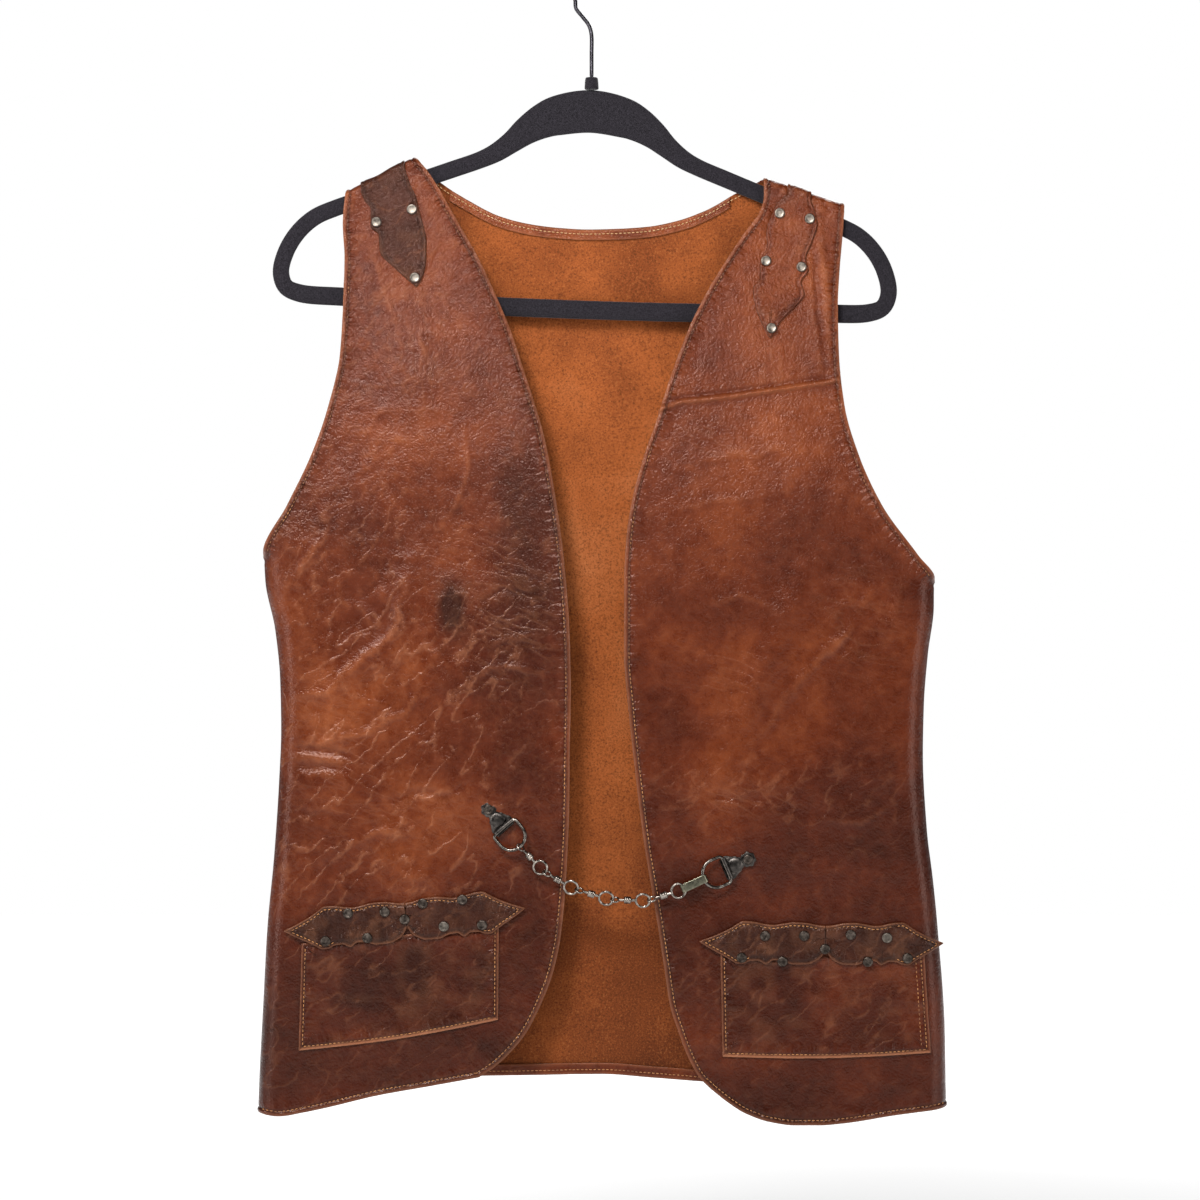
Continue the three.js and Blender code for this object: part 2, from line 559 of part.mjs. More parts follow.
// Shoulder patches, which start on the shoulder line and hang to a point.
function shoulderPatch(name, side, rows, look) {
  const start = rows.map((row) => [point(row.lx, row.lz), point(row.rx, row.rz)]);
  const places = start.map(([a, b]) => even(4).map((u) => a.clone().lerp(b, u)));
  const turn = PATCH_TURN.map((down) => places[0].map((p) => point(p.x, ridgeZ(p.x) - down)));
  add(name, layer(frontOf(side), [...turn, ...places.slice(1)], LIFT.patch, PATCH_THICK), look);
}
shoulderPatch("shoulder_patch_right", "right", PATCH_RIGHT, DARK_LEATHER);
shoulderPatch("shoulder_patch_left", "left", PATCH_LEFT, LEATHER);

// Rivet cap with a flat back and a low dome that rises along +Y.
function rivetCap() {
  const profile = [[0, 0], [1, 0], [1, 0.35], [0.72, 0.85], [0, 1]].map(([r, h]) => {
    return new THREE.Vector2(r * RIVET_RADIUS, h * RIVET_HEIGHT);
  });
  return new THREE.LatheGeometry(profile, 8);
}

const counts = {};
for (const row of RIVETS) {
  counts[row.name] = (counts[row.name] ?? 0) + 1;
  const name = row.name + counts[row.name];
  const piece = frontOf(row.side);
  const onTrim = row.layer === "trim";
  const cap = add(name, rivetCap(), METAL);
  cap.position.copy((onTrim ? stiffFace : onFace)(piece, row.x, row.z, TOP_OF[row.layer] + GAP));
  const facing = onTrim ? new THREE.Vector3(0, -1, 0) : outward(piece, row.x, row.z);
  cap.quaternion.setFromUnitVectors(new THREE.Vector3(0, 1, 0), facing);
}

// Closed geometry as a solid for joining, and back.
function solid(geometry) {
  const bare = geometry.clone();
  bare.deleteAttribute("normal");
  bare.deleteAttribute("uv");
  const merged = mergeVertices(bare, 1e-4);
  return new wasm.Manifold(new wasm.Mesh({
    numProp: 3,
    vertProperties: new Float32Array(merged.attributes.position.array),
    triVerts: new Uint32Array(merged.index.array),
  }));
}
function joined(geometries) {
  const mesh = geometries.map(solid).reduce((a, b) => a.add(b)).getMesh();
  const geometry = new THREE.BufferGeometry();
  geometry.setAttribute("position", new THREE.Float32BufferAttribute(mesh.vertProperties, 3));
  geometry.setIndex([...mesh.triVerts]);
  geometry.computeVertexNormals();
  return geometry;
}

// Tube round a closed flat loop that lies in the plane z = 0.
function loopTube(loop, radius, sides) {
  const up = new THREE.Vector3(0, 0, 1);
  const points = [];
  const faces = [];
  loop.forEach((p, i) => {
    const next = loop[(i + 1) % loop.length];
    const before = loop[(i + loop.length - 1) % loop.length];
    const out = new THREE.Vector3(next.y - before.y, before.x - next.x, 0).normalize();
    for (let k = 0; k < sides; k += 1) {
      const angle = (2 * Math.PI * k) / sides;
      points.push(new THREE.Vector3(p.x, p.y, 0)
        .addScaledVector(out, radius * Math.cos(angle)).addScaledVector(up, radius * Math.sin(angle)));
      const [a, b] = [i * sides + k, i * sides + ((k + 1) % sides)];
      const shift = (j) => (j + sides) % (loop.length * sides);
      faces.push(a, shift(a), b, b, shift(a), shift(b));
    }
  });
  return facingOut(points, faces);
}

// A clasp's own frame: x runs to the ring, y along the rolled end and z straight out of the front.
function claspFrame(row) {
  const turn = THREE.MathUtils.degToRad(row.turn);
  const frame = new THREE.Group();
  const reach = new THREE.Vector3(Math.cos(turn), 0, Math.sin(turn));
  const out = new THREE.Vector3(0, -1, 0);
  frame.quaternion.setFromRotationMatrix(
    new THREE.Matrix4().makeBasis(reach, new THREE.Vector3().crossVectors(out, reach), out));
  frame.position.set(row.x, -FRONT_DEPTH, row.z);
  vest.add(frame);
  frame.updateMatrixWorld(true);
  return frame;
}

const ROLL_INNER = D_WIRE + GAP;
const ROLL_OUTER = ROLL_INNER + CLASP_THICK;
const BAR_LIFT = GAP + ROLL_OUTER;

// Bell-shaped plate with a rolled end round the ring's bar.
function claspGeometry() {
  const bell = new THREE.Shape();
  bell.moveTo(0, -ROLL_LENGTH / 2);
  bell.lineTo(0, ROLL_LENGTH / 2);
  bell.quadraticCurveTo(-6, 6.2, -9, 5);
  bell.quadraticCurveTo(-11.5, 3.9, -12.5, 3.9);
  bell.absarc(-CLASP_RIVET_BACK, 0, 5.1, 0.75, 2 * Math.PI - 0.75, false);
  bell.lineTo(-12.5, -3.9);
  bell.quadraticCurveTo(-11.5, -3.9, -9, -5);
  bell.quadraticCurveTo(-6, -6.2, 0, -ROLL_LENGTH / 2);
  const plate = new THREE.ExtrudeGeometry(bell, {
    depth: CLASP_THICK,
    bevelEnabled: false,
    curveSegments: 4,
  });
  plate.translate(0, 0, GAP);
  const roll = new THREE.Shape();
  roll.absarc(0, 0, ROLL_OUTER, Math.PI * 0.8, Math.PI * 2.5, false);
  roll.absarc(0, 0, ROLL_INNER, Math.PI * 2.5, Math.PI * 0.8, true);
  const curl = new THREE.ExtrudeGeometry(roll, {
    depth: ROLL_LENGTH,
    bevelEnabled: false,
    curveSegments: 10,
  });
  curl.rotateZ(Math.PI);
  curl.rotateX(Math.PI / 2);
  curl.translate(0, ROLL_LENGTH / 2, BAR_LIFT);
  return joined([plate, curl]);
}

// Ring shaped like a D: a straight bar and a round reach.
function dRing() {
  const centre = D_REACH - D_HALF_WIDTH;
  const loop = [point(0, -D_HALF_WIDTH + 2), point(0, D_HALF_WIDTH - 2), point(0.8, D_HALF_WIDTH - 0.5)];
  for (const s of even(10)) {
    const angle = Math.PI / 2 - Math.PI * s;
    loop.push(point(centre + D_HALF_WIDTH * Math.cos(angle), D_HALF_WIDTH * Math.sin(angle)));
  }
  loop.push(point(0.8, -D_HALF_WIDTH + 0.5));
  return loopTube(loop, D_WIRE, 6);
}

const ringEnd = {};
for (const row of CLASPS) {
  const frame = claspFrame(row);
  const plate = add(`clasp_${row.name}`, claspGeometry(), METAL);
  const ring = add(`d_ring_${row.name}`, dRing(), METAL);
  const cap = add(`rivet_clasp_${row.name}`, rivetCap(), METAL);
  frame.add(plate, ring, cap);
  ring.position.z = BAR_LIFT;
  ring.rotation.y = -D_TILT;
  cap.rotation.x = Math.PI / 2;
  cap.position.set(-CLASP_RIVET_BACK, 0, GAP + CLASP_THICK + GAP);
  frame.updateMatrixWorld(true);
  ringEnd[row.name] = ring.localToWorld(new THREE.Vector3(D_REACH, 0, 0));
}

// The chain: links with a small eye, a wrapped barrel and a ring, each eye through the ring before.
const chainY = (ringEnd.right.y + ringEnd.left.y) / 2;
const chainCurve = new THREE.CatmullRomCurve3(
  CHAIN_RUN.map((p) => new THREE.Vector3(p.x, chainY, p.z)));
const chainLength = chainCurve.getLength();
const linkLength = (chainLength - (LINK_COUNT - 1) * LINK_STEP) / LINK_COUNT;
const RING_LEAN = THREE.MathUtils.degToRad(20);
const EYE_LEAN = THREE.MathUtils.degToRad(-60);

function linkGeometry(length, lean) {
  const eye = new THREE.TorusGeometry(EYE_RADIUS, EYE_WIRE, 5, 10);
  eye.rotateX(EYE_LEAN);
  const ring = new THREE.TorusGeometry(RING_RADIUS, RING_WIRE, 5, 14);
  ring.rotateX(lean);
  ring.translate(length, 0, 0);
  const from = EYE_RADIUS - EYE_WIRE / 2;
  const to = length - RING_RADIUS + RING_WIRE / 2;
  const barrel = new THREE.CylinderGeometry(BARREL_RADIUS, BARREL_RADIUS, to - from, 6);
  barrel.rotateZ(Math.PI / 2);
  barrel.translate((from + to) / 2, 0, 0);
  return joined([eye, ring, barrel]);
}

const out = new THREE.Vector3(0, -1, 0);
const ringCentres = [];
for (let i = 0; i < LINK_COUNT; i += 1) {
  const start = (i * (linkLength + LINK_STEP)) / chainLength;
  const from = chainCurve.getPointAt(start);
  const to = chainCurve.getPointAt(Math.min(1, start + linkLength / chainLength));
  const along = to.clone().sub(from);
  const lean = i === LINK_COUNT - 1 ? 0 : RING_LEAN;
  const link = add(`chain_link_${i + 1}`, linkGeometry(along.length(), lean), METAL);
  const direction = along.normalize();
  link.quaternion.setFromRotationMatrix(new THREE.Matrix4().makeBasis(
    direction, new THREE.Vector3().crossVectors(out, direction), out));
  link.position.copy(from);
  ringCentres.push(to);
}

// Flat strip folded into a loop that joins the last ring to the left D-ring.
const lastRing = ringCentres.at(-1);
const pull = ringEnd.left.clone().sub(lastRing);
const pullLength = pull.length();
pull.normalize();
// How far a round end falls back over half the strip's width.
const fallBack = (radius) => radius - Math.sqrt(radius ** 2 - (CONNECTOR_WIDTH / 2) ** 2);
const holeFrom = RING_RADIUS - fallBack(RING_RADIUS) - RING_WIRE - GAP;
const holeTo = pullLength + fallBack(D_HALF_WIDTH) + D_WIRE + GAP;
const straight = holeTo - holeFrom - 2 * CONNECTOR_HOLE;
function oblong(radius, shape) {
  shape.absarc(straight, 0, radius, -Math.PI / 2, Math.PI / 2, false);
  shape.absarc(0, 0, radius, Math.PI / 2, Math.PI * 1.5, false);
  return shape;
}
const loopShape = oblong(CONNECTOR_HOLE + CONNECTOR_WALL, new THREE.Shape());
loopShape.holes.push(oblong(CONNECTOR_HOLE, new THREE.Path()));
const connector = new THREE.ExtrudeGeometry(loopShape, {
  depth: CONNECTOR_WIDTH,
  bevelEnabled: false,
  curveSegments: 6,
});
connector.translate(holeFrom + CONNECTOR_HOLE, 0, -CONNECTOR_WIDTH / 2);
const connectorMesh = add("chain_connector", connector, METAL);
const across = new THREE.Vector3().crossVectors(pull, out).normalize();
connectorMesh.quaternion.setFromRotationMatrix(new THREE.Matrix4().makeBasis(
  pull, new THREE.Vector3().crossVectors(across, pull), across));
connectorMesh.position.copy(lastRing);

// The hanger: one flocked plate with a window, turned a little about its neck.
function hangerFrame() {
  const half = HANGER_LINE.map((p) => new THREE.Vector3(p.x, p.z, p.wide));
  const mirrored = half.slice(1).reverse().map((p) => new THREE.Vector3(-p.x, p.y, p.z));
  const middle = new THREE.Vector3(BAR_MIDDLE.x, BAR_MIDDLE.z, BAR_MIDDLE.wide);
  const line = new THREE.CatmullRomCurve3([...half, middle, ...mirrored], true, "centripetal");
  const samples = even(60).slice(0, -1).map((s) => line.getPoint(s));
  const offset = (sign) => samples.map((p, i) => {
    const next = samples[(i + 1) % samples.length];
    const before = samples[(i + samples.length - 1) % samples.length];
    const normal = point(next.y - before.y, before.x - next.x).normalize();
    return point(p.x, p.y).addScaledVector(normal, sign * (p.z / 2 - HANGER_BEVEL));
  });
  const rims = [offset(1), offset(-1)];
  const height = (rim) => Math.max(...rim.map((p) => p.y));
  rims.sort((a, b) => height(b) - height(a));
  const plate = new THREE.Shape(rims[0]);
  plate.holes.push(new THREE.Path(rims[1].reverse()));
  const geometry = new THREE.ExtrudeGeometry(plate, {
    depth: HANGER_THICK - 2 * HANGER_BEVEL,
    bevelThickness: HANGER_BEVEL,
    bevelSize: HANGER_BEVEL,
    bevelSegments: 1,
  });
  geometry.translate(0, -HANGER_PIVOT_Z, -(HANGER_THICK / 2 - HANGER_BEVEL));
  geometry.rotateZ(-HANGER_TILT);
  geometry.translate(0, HANGER_PIVOT_Z, 0);
  geometry.rotateX(Math.PI / 2);
  return geometry;
}
add("hanger_frame", hangerFrame(), FLOCK);

const collar = new THREE.CylinderGeometry(
  COLLAR_RADIUS * 0.85, COLLAR_RADIUS, COLLAR_TOP_Z - COLLAR_BOTTOM_Z, 12);
collar.rotateX(Math.PI / 2);
const collarMesh = add("hanger_collar", collar, FLOCK);
collarMesh.position.z = (COLLAR_TOP_Z + COLLAR_BOTTOM_Z) / 2;

// Wire hook: a stem that leans to the viewer's left, then a round bend over the origin.
function hook() {
  const centreZ = WIRE_RADIUS - HOOK_RADIUS;
  const bend = even(14).map((s) => {
    const angle = THREE.MathUtils.degToRad(mix(HOOK_FROM_DEG, HOOK_TO_DEG, s));
    return new THREE.Vector3(HOOK_RADIUS * Math.cos(angle), 0, centreZ + HOOK_RADIUS * Math.sin(angle));
  });
  const stem = HOOK_STEM.map((p) => new THREE.Vector3(p.x, 0, p.z));
  const section = new THREE.Shape().absarc(0, 0, WIRE_RADIUS, 0, 2 * Math.PI, false);
  return new THREE.ExtrudeGeometry(section, {
    steps: 34,
    curveSegments: 4,
    bevelEnabled: false,
    extrudePath: new THREE.CatmullRomCurve3([...stem, ...bend]),
  });
}
add("hanger_hook", hook(), DARK_WIRE);

export default vest;
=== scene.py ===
# %% [markdown]
# # A worn leather vest on a flocked hanger
# The part's solids hold the cut of the vest. This script gives it its surface: thin leather with
# creases, stitching, studs and a chain. It starts from the imported model, which is in metres with
# +Z up.

# %% Load the frame
from functools import partial

import bmesh
import bpy
import numpy as np
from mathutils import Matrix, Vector


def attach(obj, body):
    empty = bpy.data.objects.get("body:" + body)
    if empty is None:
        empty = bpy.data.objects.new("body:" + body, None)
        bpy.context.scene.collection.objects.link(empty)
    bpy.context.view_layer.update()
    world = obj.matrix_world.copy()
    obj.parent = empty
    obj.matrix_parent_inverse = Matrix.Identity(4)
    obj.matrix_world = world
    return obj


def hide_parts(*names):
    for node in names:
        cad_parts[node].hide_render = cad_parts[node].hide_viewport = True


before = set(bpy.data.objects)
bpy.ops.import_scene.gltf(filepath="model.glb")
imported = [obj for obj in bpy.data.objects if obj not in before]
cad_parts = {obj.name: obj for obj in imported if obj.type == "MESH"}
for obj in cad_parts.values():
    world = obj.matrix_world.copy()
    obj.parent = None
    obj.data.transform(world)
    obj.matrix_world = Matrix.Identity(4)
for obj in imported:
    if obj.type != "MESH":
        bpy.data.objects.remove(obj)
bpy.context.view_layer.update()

BODY = "root"
MM = 0.001

# %% [markdown]
# ## Camera, floor and light
# The vest was photographed square on from a few metres away. A long lens from 2.5 m gives the same
# flat view. The frame is 852 mm wide where the fronts hang, which is 0.71 mm for each of the
# picture's 1200 pixels.

# %% Camera
PICTURE_WIDTH = 0.852
VIEW_CENTRE = Vector((0.006, -0.010, -0.465))
CAMERA_DISTANCE = 2.5


def put_in_scene(name, data):
    """A new object in the scene that shows the data."""
    thing = bpy.data.objects.new(name, data)
    bpy.context.scene.collection.objects.link(thing)
    return thing


camera = put_in_scene("camera", bpy.data.cameras.new("camera"))
camera.data.lens = camera.data.sensor_width * CAMERA_DISTANCE / PICTURE_WIDTH
camera.location = VIEW_CENTRE - Vector((0, CAMERA_DISTANCE, 0))
camera.rotation_euler = (np.pi / 2, 0, 0)
bpy.context.scene.camera = camera
print("lens in mm:", round(camera.data.lens, 1))


# %% Colours and lights
def to_linear(hex_colour):
    """Linear colour of an sRGB hex value: each channel over 12.92 near black, to the power 2.4 above."""
    c = np.array([int(hex_colour[i:i + 2], 16) / 255 for i in (1, 3, 5)])
    linear = np.where(c <= 0.04045, c / 12.92, ((c + 0.055) / 1.055) ** 2.4)
    return (*linear.tolist(), 1.0)


def area_light(name, place, size, watts):
    """Square soft light at a place in metres that faces the middle of the vest."""
    light = put_in_scene(name, bpy.data.lights.new(name, "AREA"))
    light.data.energy = watts
    light.data.size = size
    light.location = place
    light.rotation_euler = (VIEW_CENTRE - light.location).to_track_quat("-Z", "Y").to_euler()


# %% [markdown]
# ## One helper for every node
# A material is a small tree of nodes. One function adds a node with its settings and links and
# hands back one of its outputs, so each recipe below reads from its patterns to its shader.

# %% Node and material helpers
def set_inputs(node, inputs):
    """Gives each input a value, a hex colour or a link from another node's output."""
    for name, value in inputs.items():
        if isinstance(value, bpy.types.NodeSocket):
            node.id_data.links.new(value, node.inputs[name])
        else:
            node.inputs[name].default_value = to_linear(value) if isinstance(value, str) else value


def set_stops(node, stops):
    """Puts (place, hex colour) stops on a colour ramp."""
    elements = node.color_ramp.elements
    while len(elements) < len(stops):
        elements.new(0.5)
    for element, (place, colour) in zip(elements, stops):
        element.position = place
        element.color = to_linear(colour)


def add(tree, kind, inputs, output=0, stops=None, **settings):
    """Adds a node with its settings, inputs and any colour stops, and returns one of its outputs."""
    node = tree.nodes.new("ShaderNode" + kind)
    for key, value in settings.items():
        setattr(node, key, value)
    if stops:
        set_stops(node, stops)
    set_inputs(node, inputs)
    return node.outputs[output]


def new_material(name):
    """A material, a function that adds a node to it, and its principled shader."""
    material = bpy.data.materials.new(name)
    material.use_nodes = True
    tree = material.node_tree
    tree.nodes.clear()
    shader = tree.nodes.new("ShaderNodeBsdfPrincipled")
    set_inputs(tree.nodes.new("ShaderNodeOutputMaterial"), {"Surface": shader.outputs[0]})
    return material, partial(add, tree), shader


# %% [markdown]
# ## Studio
# The photograph is a cut-out on white under soft light. A pale floor that brightens away from the
# vest gives the same plain ground from every side. The sky lights the vest dimly, so the leather
# keeps its depth of colour, and a key close above rakes down it, brightest and glossiest at the top.

# %% Floor, sky and lights
FLOOR_Z = -1.05
FLOOR_HALF = 4
WHITE = "#ffffff"
floor_mesh = bpy.data.meshes.new("floor")
floor_corners = [(x * FLOOR_HALF, y * FLOOR_HALF, FLOOR_Z) for x, y in ((-1, -1), (1, -1), (1, 1), (-1, 1))]
floor_mesh.from_pydata(floor_corners, [], [(0, 1, 2, 3)])
floor = put_in_scene("floor", floor_mesh)
pale, node, shader = new_material("pale_studio_floor")
away = node("VectorMath", {0: node("TexCoord", {}, "Object")}, "Value", operation="LENGTH")
glow = node("MapRange", {"Value": away, "From Min": 1.0, "From Max": 2.2, "To Min": 0.2, "To Max": 1.0})
set_inputs(shader, {"Emission Strength": glow, "Emission Color": WHITE})
set_inputs(shader, {"Base Color": "#dddddd", "Roughness": 0.9})
floor_mesh.materials.append(pale)

bpy.context.scene.view_settings.view_transform = "Standard"
SKY_SEEN = 1.0
SKY_LIGHT = 0.1
world = bpy.data.worlds.new("studio")
world.use_nodes = True
seen = add(world.node_tree, "LightPath", {}, "Is Camera Ray")
strength = add(world.node_tree, "MapRange", {"Value": seen, "To Min": SKY_LIGHT, "To Max": SKY_SEEN})
set_inputs(world.node_tree.nodes["Background"], {"Strength": strength, "Color": WHITE})
bpy.context.scene.world = world
area_light("key", (-0.5, -1.15, 0.5), 0.4, 27)
area_light("gloss", (0.0, -0.85, 0.0), 0.3, 2.4)
area_light("side", (-1.9, -1.1, -0.3), 0.8, 15)
area_light("fill", (1.8, -1.1, -0.4), 1.0, 12)
area_light("rim", (0.4, 1.7, 0.8), 1.0, 20)


# %% Mesh helpers
def make_object(name, points, faces, material, attributes=None):
    """Smooth object on the vest's body from points in millimetres, with values for its attributes."""
    mesh = bpy.data.meshes.new(name)
    mesh.from_pydata((np.asarray(points) * MM).tolist(), [], faces)
    mesh.polygons.foreach_set("use_smooth", np.ones(len(mesh.polygons), bool))
    for key, values in (attributes or {}).items():
        mesh.attributes.new(key, "FLOAT", "POINT").data.foreach_set("value", np.asarray(values, np.float32))
    mesh.update()
    mesh.materials.append(material)
    thing = put_in_scene(name, mesh)
    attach(thing, BODY)
    return thing


# %% Grids, walls and turns
def grid_faces(rows, columns, around=False, closed=False, start=0):
    """Quads of a grid of points, closed round its columns (around) or round its rows (closed)."""
    r = np.arange(rows if closed else rows - 1)[:, None]
    c = np.arange(columns if around else columns - 1)[None, :]
    r2, c2 = (r + 1) % rows, (c + 1) % columns
    quads = np.stack([r * columns + c, r2 * columns + c, r2 * columns + c2, r * columns + c2], axis=-1)
    return quads.reshape(-1, 4) + start


def wall(outer, inner):
    """Points and quads of a closed wall between two grids: both faces and a rim round their edges."""
    rows, columns = outer.shape[:2]
    count = rows * columns
    index = np.arange(count).reshape(rows, columns)
    front = grid_faces(rows, columns)
    back = front[:, ::-1] + count
    rim = np.concatenate([index[:-1, 0], index[-1, :-1], index[:0:-1, -1], index[0, :0:-1]])
    ahead = np.roll(rim, -1)
    edge = np.stack([ahead, rim, rim + count, ahead + count], axis=-1)
    points = np.concatenate([outer.reshape(-1, 3), inner.reshape(-1, 3)])
    return points, np.concatenate([front, back, edge])


def turns(count):
    """Even angles round a full turn."""
    return np.arange(count) * 2 * np.pi / count


def on_circle(angle):
    """Places on the unit circle at the angles."""
    return np.stack([np.cos(angle), np.sin(angle)], axis=-1)


def unit(vectors):
    """Vectors scaled to length 1."""
    return vectors / np.linalg.norm(vectors, axis=-1, keepdims=True)


def lengths_along(run):
    """Length along a run of points, from its start to each of them."""
    return np.concatenate([[0], np.cumsum(np.linalg.norm(np.diff(run, axis=0), axis=1))])


def turned_out(points, faces):
    """The faces, reversed if they enclose a negative volume (sum of the corner triple products)."""
    a, b, c = (points[faces[:, i]] for i in range(3))
    volume = np.einsum("ij,ij->i", a, np.cross(b, c)).sum()
    if faces.shape[1] == 4:
        volume += np.einsum("ij,ij->i", a, np.cross(c, points[faces[:, 3]])).sum()
    return faces if volume > 0 else faces[:, ::-1]


# %% [markdown]
# ## The cut of the vest
# A vest is cut from flat hide: two fronts and a back. Each edge is a smooth curve through a few
# measured places, in millimetres from the top of the hook. A cubic whose slopes are harmonic means
# passes through the places without swinging past them.

# %% Outlines
RIGHT_OUTER = [
    (-174, -175), (-197, -177), (-222, -175.7), (-252, -176.4), (-291, -178.6), (-326.6, -186.4),
    (-362, -198.4), (-397.6, -215.5), (-433.8, -233.2), (-451, -232.5), (-486.4, -225.4),
    (-522, -221.9), (-557.4, -221.2), (-593, -222.6), (-646, -226.1), (-699.4, -231.1),
    (-752.6, -234), (-806, -236.8), (-829, -237.5)]
LEFT_OUTER = [
    (-183.2, 180), (-205.2, 178.6), (-230.8, 176.4), (-256.3, 175), (-291, 175.7), (-326.6, 179.3),
    (-362, 189.2), (-397.6, 205.5), (-433, 231.1), (-451, 243.9), (-468.6, 243.9), (-504, 239.6),
    (-539.6, 236.8), (-575, 236.1), (-628.4, 238.9), (-664, 243.2), (-699.4, 246.7),
    (-770.4, 251.7), (-825, 252.6)]
RIGHT_INNER = [
    (-150.2, -124.6), (-162.6, -114.7), (-190.3, -98.3), (-223, -79.9), (-245.7, -69.2),
    (-270.5, -58.6), (-298, -49.3), (-321.6, -41.5), (-351.5, -33), (-394, -25.2), (-436.7, -19.5),
    (-479.3, -16), (-522, -14.6), (-571.6, -15.3), (-621.3, -16), (-664, -18.1), (-703, -21.7),
    (-729, -27.3), (-748, -34.4), (-769.6, -45.1), (-785, -57.2), (-796, -69.2), (-803, -79.9)]
LEFT_INNER = [
    (-164.7, 122.5), (-177.5, 122.6), (-187.4, 120.3), (-204.5, 108.3), (-221.5, 96.9),
    (-241.4, 84.8), (-267.7, 71), (-286, 63.5), (-307.4, 55.7), (-336.5, 46.5), (-362, 37.3),
    (-397.6, 28), (-422.5, 24.5), (-451, 23.1), (-504, 23.1), (-539.6, 25.9), (-575, 29.5),
    (-610.6, 33.7), (-642.6, 38), (-680, 44.4), (-725.6, 51.5), (-752.6, 55.7), (-770.4, 61.4),
    (-787.4, 67.8), (-803, 76.3), (-811.5, 84.8)]
RIGHT_HEM = [
    (-237.5, -829), (-221.2, -830.7), (-204, -828), (-186.4, -824.3), (-151, -815.8),
    (-115.4, -809.4), (-79.9, -803)]
LEFT_HEM = [
    (84.8, -811.5), (95.5, -820), (109, -828.6), (126.7, -834.7), (143.8, -837), (160.8, -837),
    (177.9, -835.7), (212.6, -830.3), (252.6, -825)]
BACK_HEM = [
    (-237.5, -829), (-150, -814), (-79.2, -805.5), (-36.6, -805), (8.2, -804.4), (40.1, -806.6),
    (82.7, -810), (170, -818), (252.6, -825)]
RIDGE = [
    (-175, -174), (-162.2, -167.6), (-151.6, -163.3), (-140.9, -157), (-124.6, -150.2),
    (122.5, -164.7), (140.9, -169.7), (158.7, -176), (180, -183.2)]
NECKLINE = [
    (-124.6, -150.2), (-107.6, -167), (-87.7, -179.6), (-66.4, -190.3), (-45.1, -196),
    (-23.8, -198.8), (-2.5, -200), (18.8, -199.5), (40.1, -198), (61.4, -193.8), (82.7, -186),
    (104, -174), (122.5, -164.7)]
ARMPIT = {"right": -433.8, "left": -451}


# %% Smooth curves through the places
def smooth(rows):
    """Cubic through (place, value) rows; each slope is the harmonic mean of the chords beside it."""
    at, value = np.array(sorted(rows), float).T
    step = np.diff(at)
    chord = np.diff(value) / step
    same = chord[:-1] * chord[1:] > 0
    total = np.where(same, chord[:-1] + chord[1:], 1)
    inner = np.where(same, 2 * chord[:-1] * chord[1:] / total, 0)
    slope = np.concatenate([chord[:1], inner, chord[-1:]])

    def curve(x):
        x = np.asarray(x, float)
        i = np.clip(np.searchsorted(at, x, side="right") - 1, 0, len(step) - 1)
        s = (x - at[i]) / step[i]
        rise = s * s * (3 - 2 * s)
        y = value[i] * (1 - rise) + value[i + 1] * rise
        y = y + step[i] * s * (1 - s) * ((1 - s) * slope[i] - s * slope[i + 1])
        y = np.where(x < at[0], value[0] + slope[0] * (x - at[0]), y)
        return np.where(x > at[-1], value[-1] + slope[-1] * (x - at[-1]), y)

    return curve


ridge_z = smooth(RIDGE)
neckline_z = smooth(NECKLINE)
outer_x = {"right": smooth(RIGHT_OUTER), "left": smooth(LEFT_OUTER)}
inner_x = {"right": smooth(RIGHT_INNER), "left": smooth(LEFT_INNER)}
hem_z = {"right": smooth(RIGHT_HEM), "left": smooth(LEFT_HEM), "back": smooth(BACK_HEM)}
print("widest at the hem, in mm:", LEFT_HEM[-1][0] - RIGHT_HEM[0][0])

# %% [markdown]
# ## How the leather hangs
# The fronts and the back bend over the hanger in a quarter circle at the shoulder, drift apart as
# they hang, and roll together at the side seams. That is one height above the hanger's plane for
# each place, so everything sewn on can be laid on the same function.

# %% Depth of the hanging leather
CLOTH = 2.0
GAP = 0.3
SEAM_DEPTH = GAP / 2
DRAPE = 5.3
FULL_DEPTH = {"front": 17.0, "back": 12.0}
SETTLE = {"front": 230.0, "back": 90.0}
SIDE_ROLL = 14.0
ARMPIT_FLARE = 1.1


def ease(s):
    """Smooth step: 3s^2 - 2s^3 between 0 and 1."""
    s = np.clip(s, 0, 1)
    return s * s * (3 - 2 * s)


def quarter(s):
    """Rise of a quarter circle from its foot at 0 to its top at 1."""
    return np.sqrt(1 - (1 - np.clip(s, 0, 1)) ** 2)


def in_from_side(x, z):
    """Distance in from the side line, which flares outwards above each armpit."""
    found = []
    for side, out in (("right", -1), ("left", 1)):
        above = np.maximum(0, z - ARMPIT[side])
        fold = np.where(above > 0, outer_x[side](ARMPIT[side]) + out * ARMPIT_FLARE * above, outer_x[side](z))
        found.append(out * (fold - x))
    return np.where(x < 0, found[0], found[1])


print("deepest front:", FULL_DEPTH["front"], "mm, deepest back:", FULL_DEPTH["back"], "mm")

# %% [markdown]
# ## Wrinkles and creases
# Old leather never hangs flat. Its weight gives broad folds, years of wear give long creases, and
# the hide itself has a sharp-crested rumple. Each is a function of the place alone, so their sum is
# one relief that the shell, the pockets and the stitches can all follow.


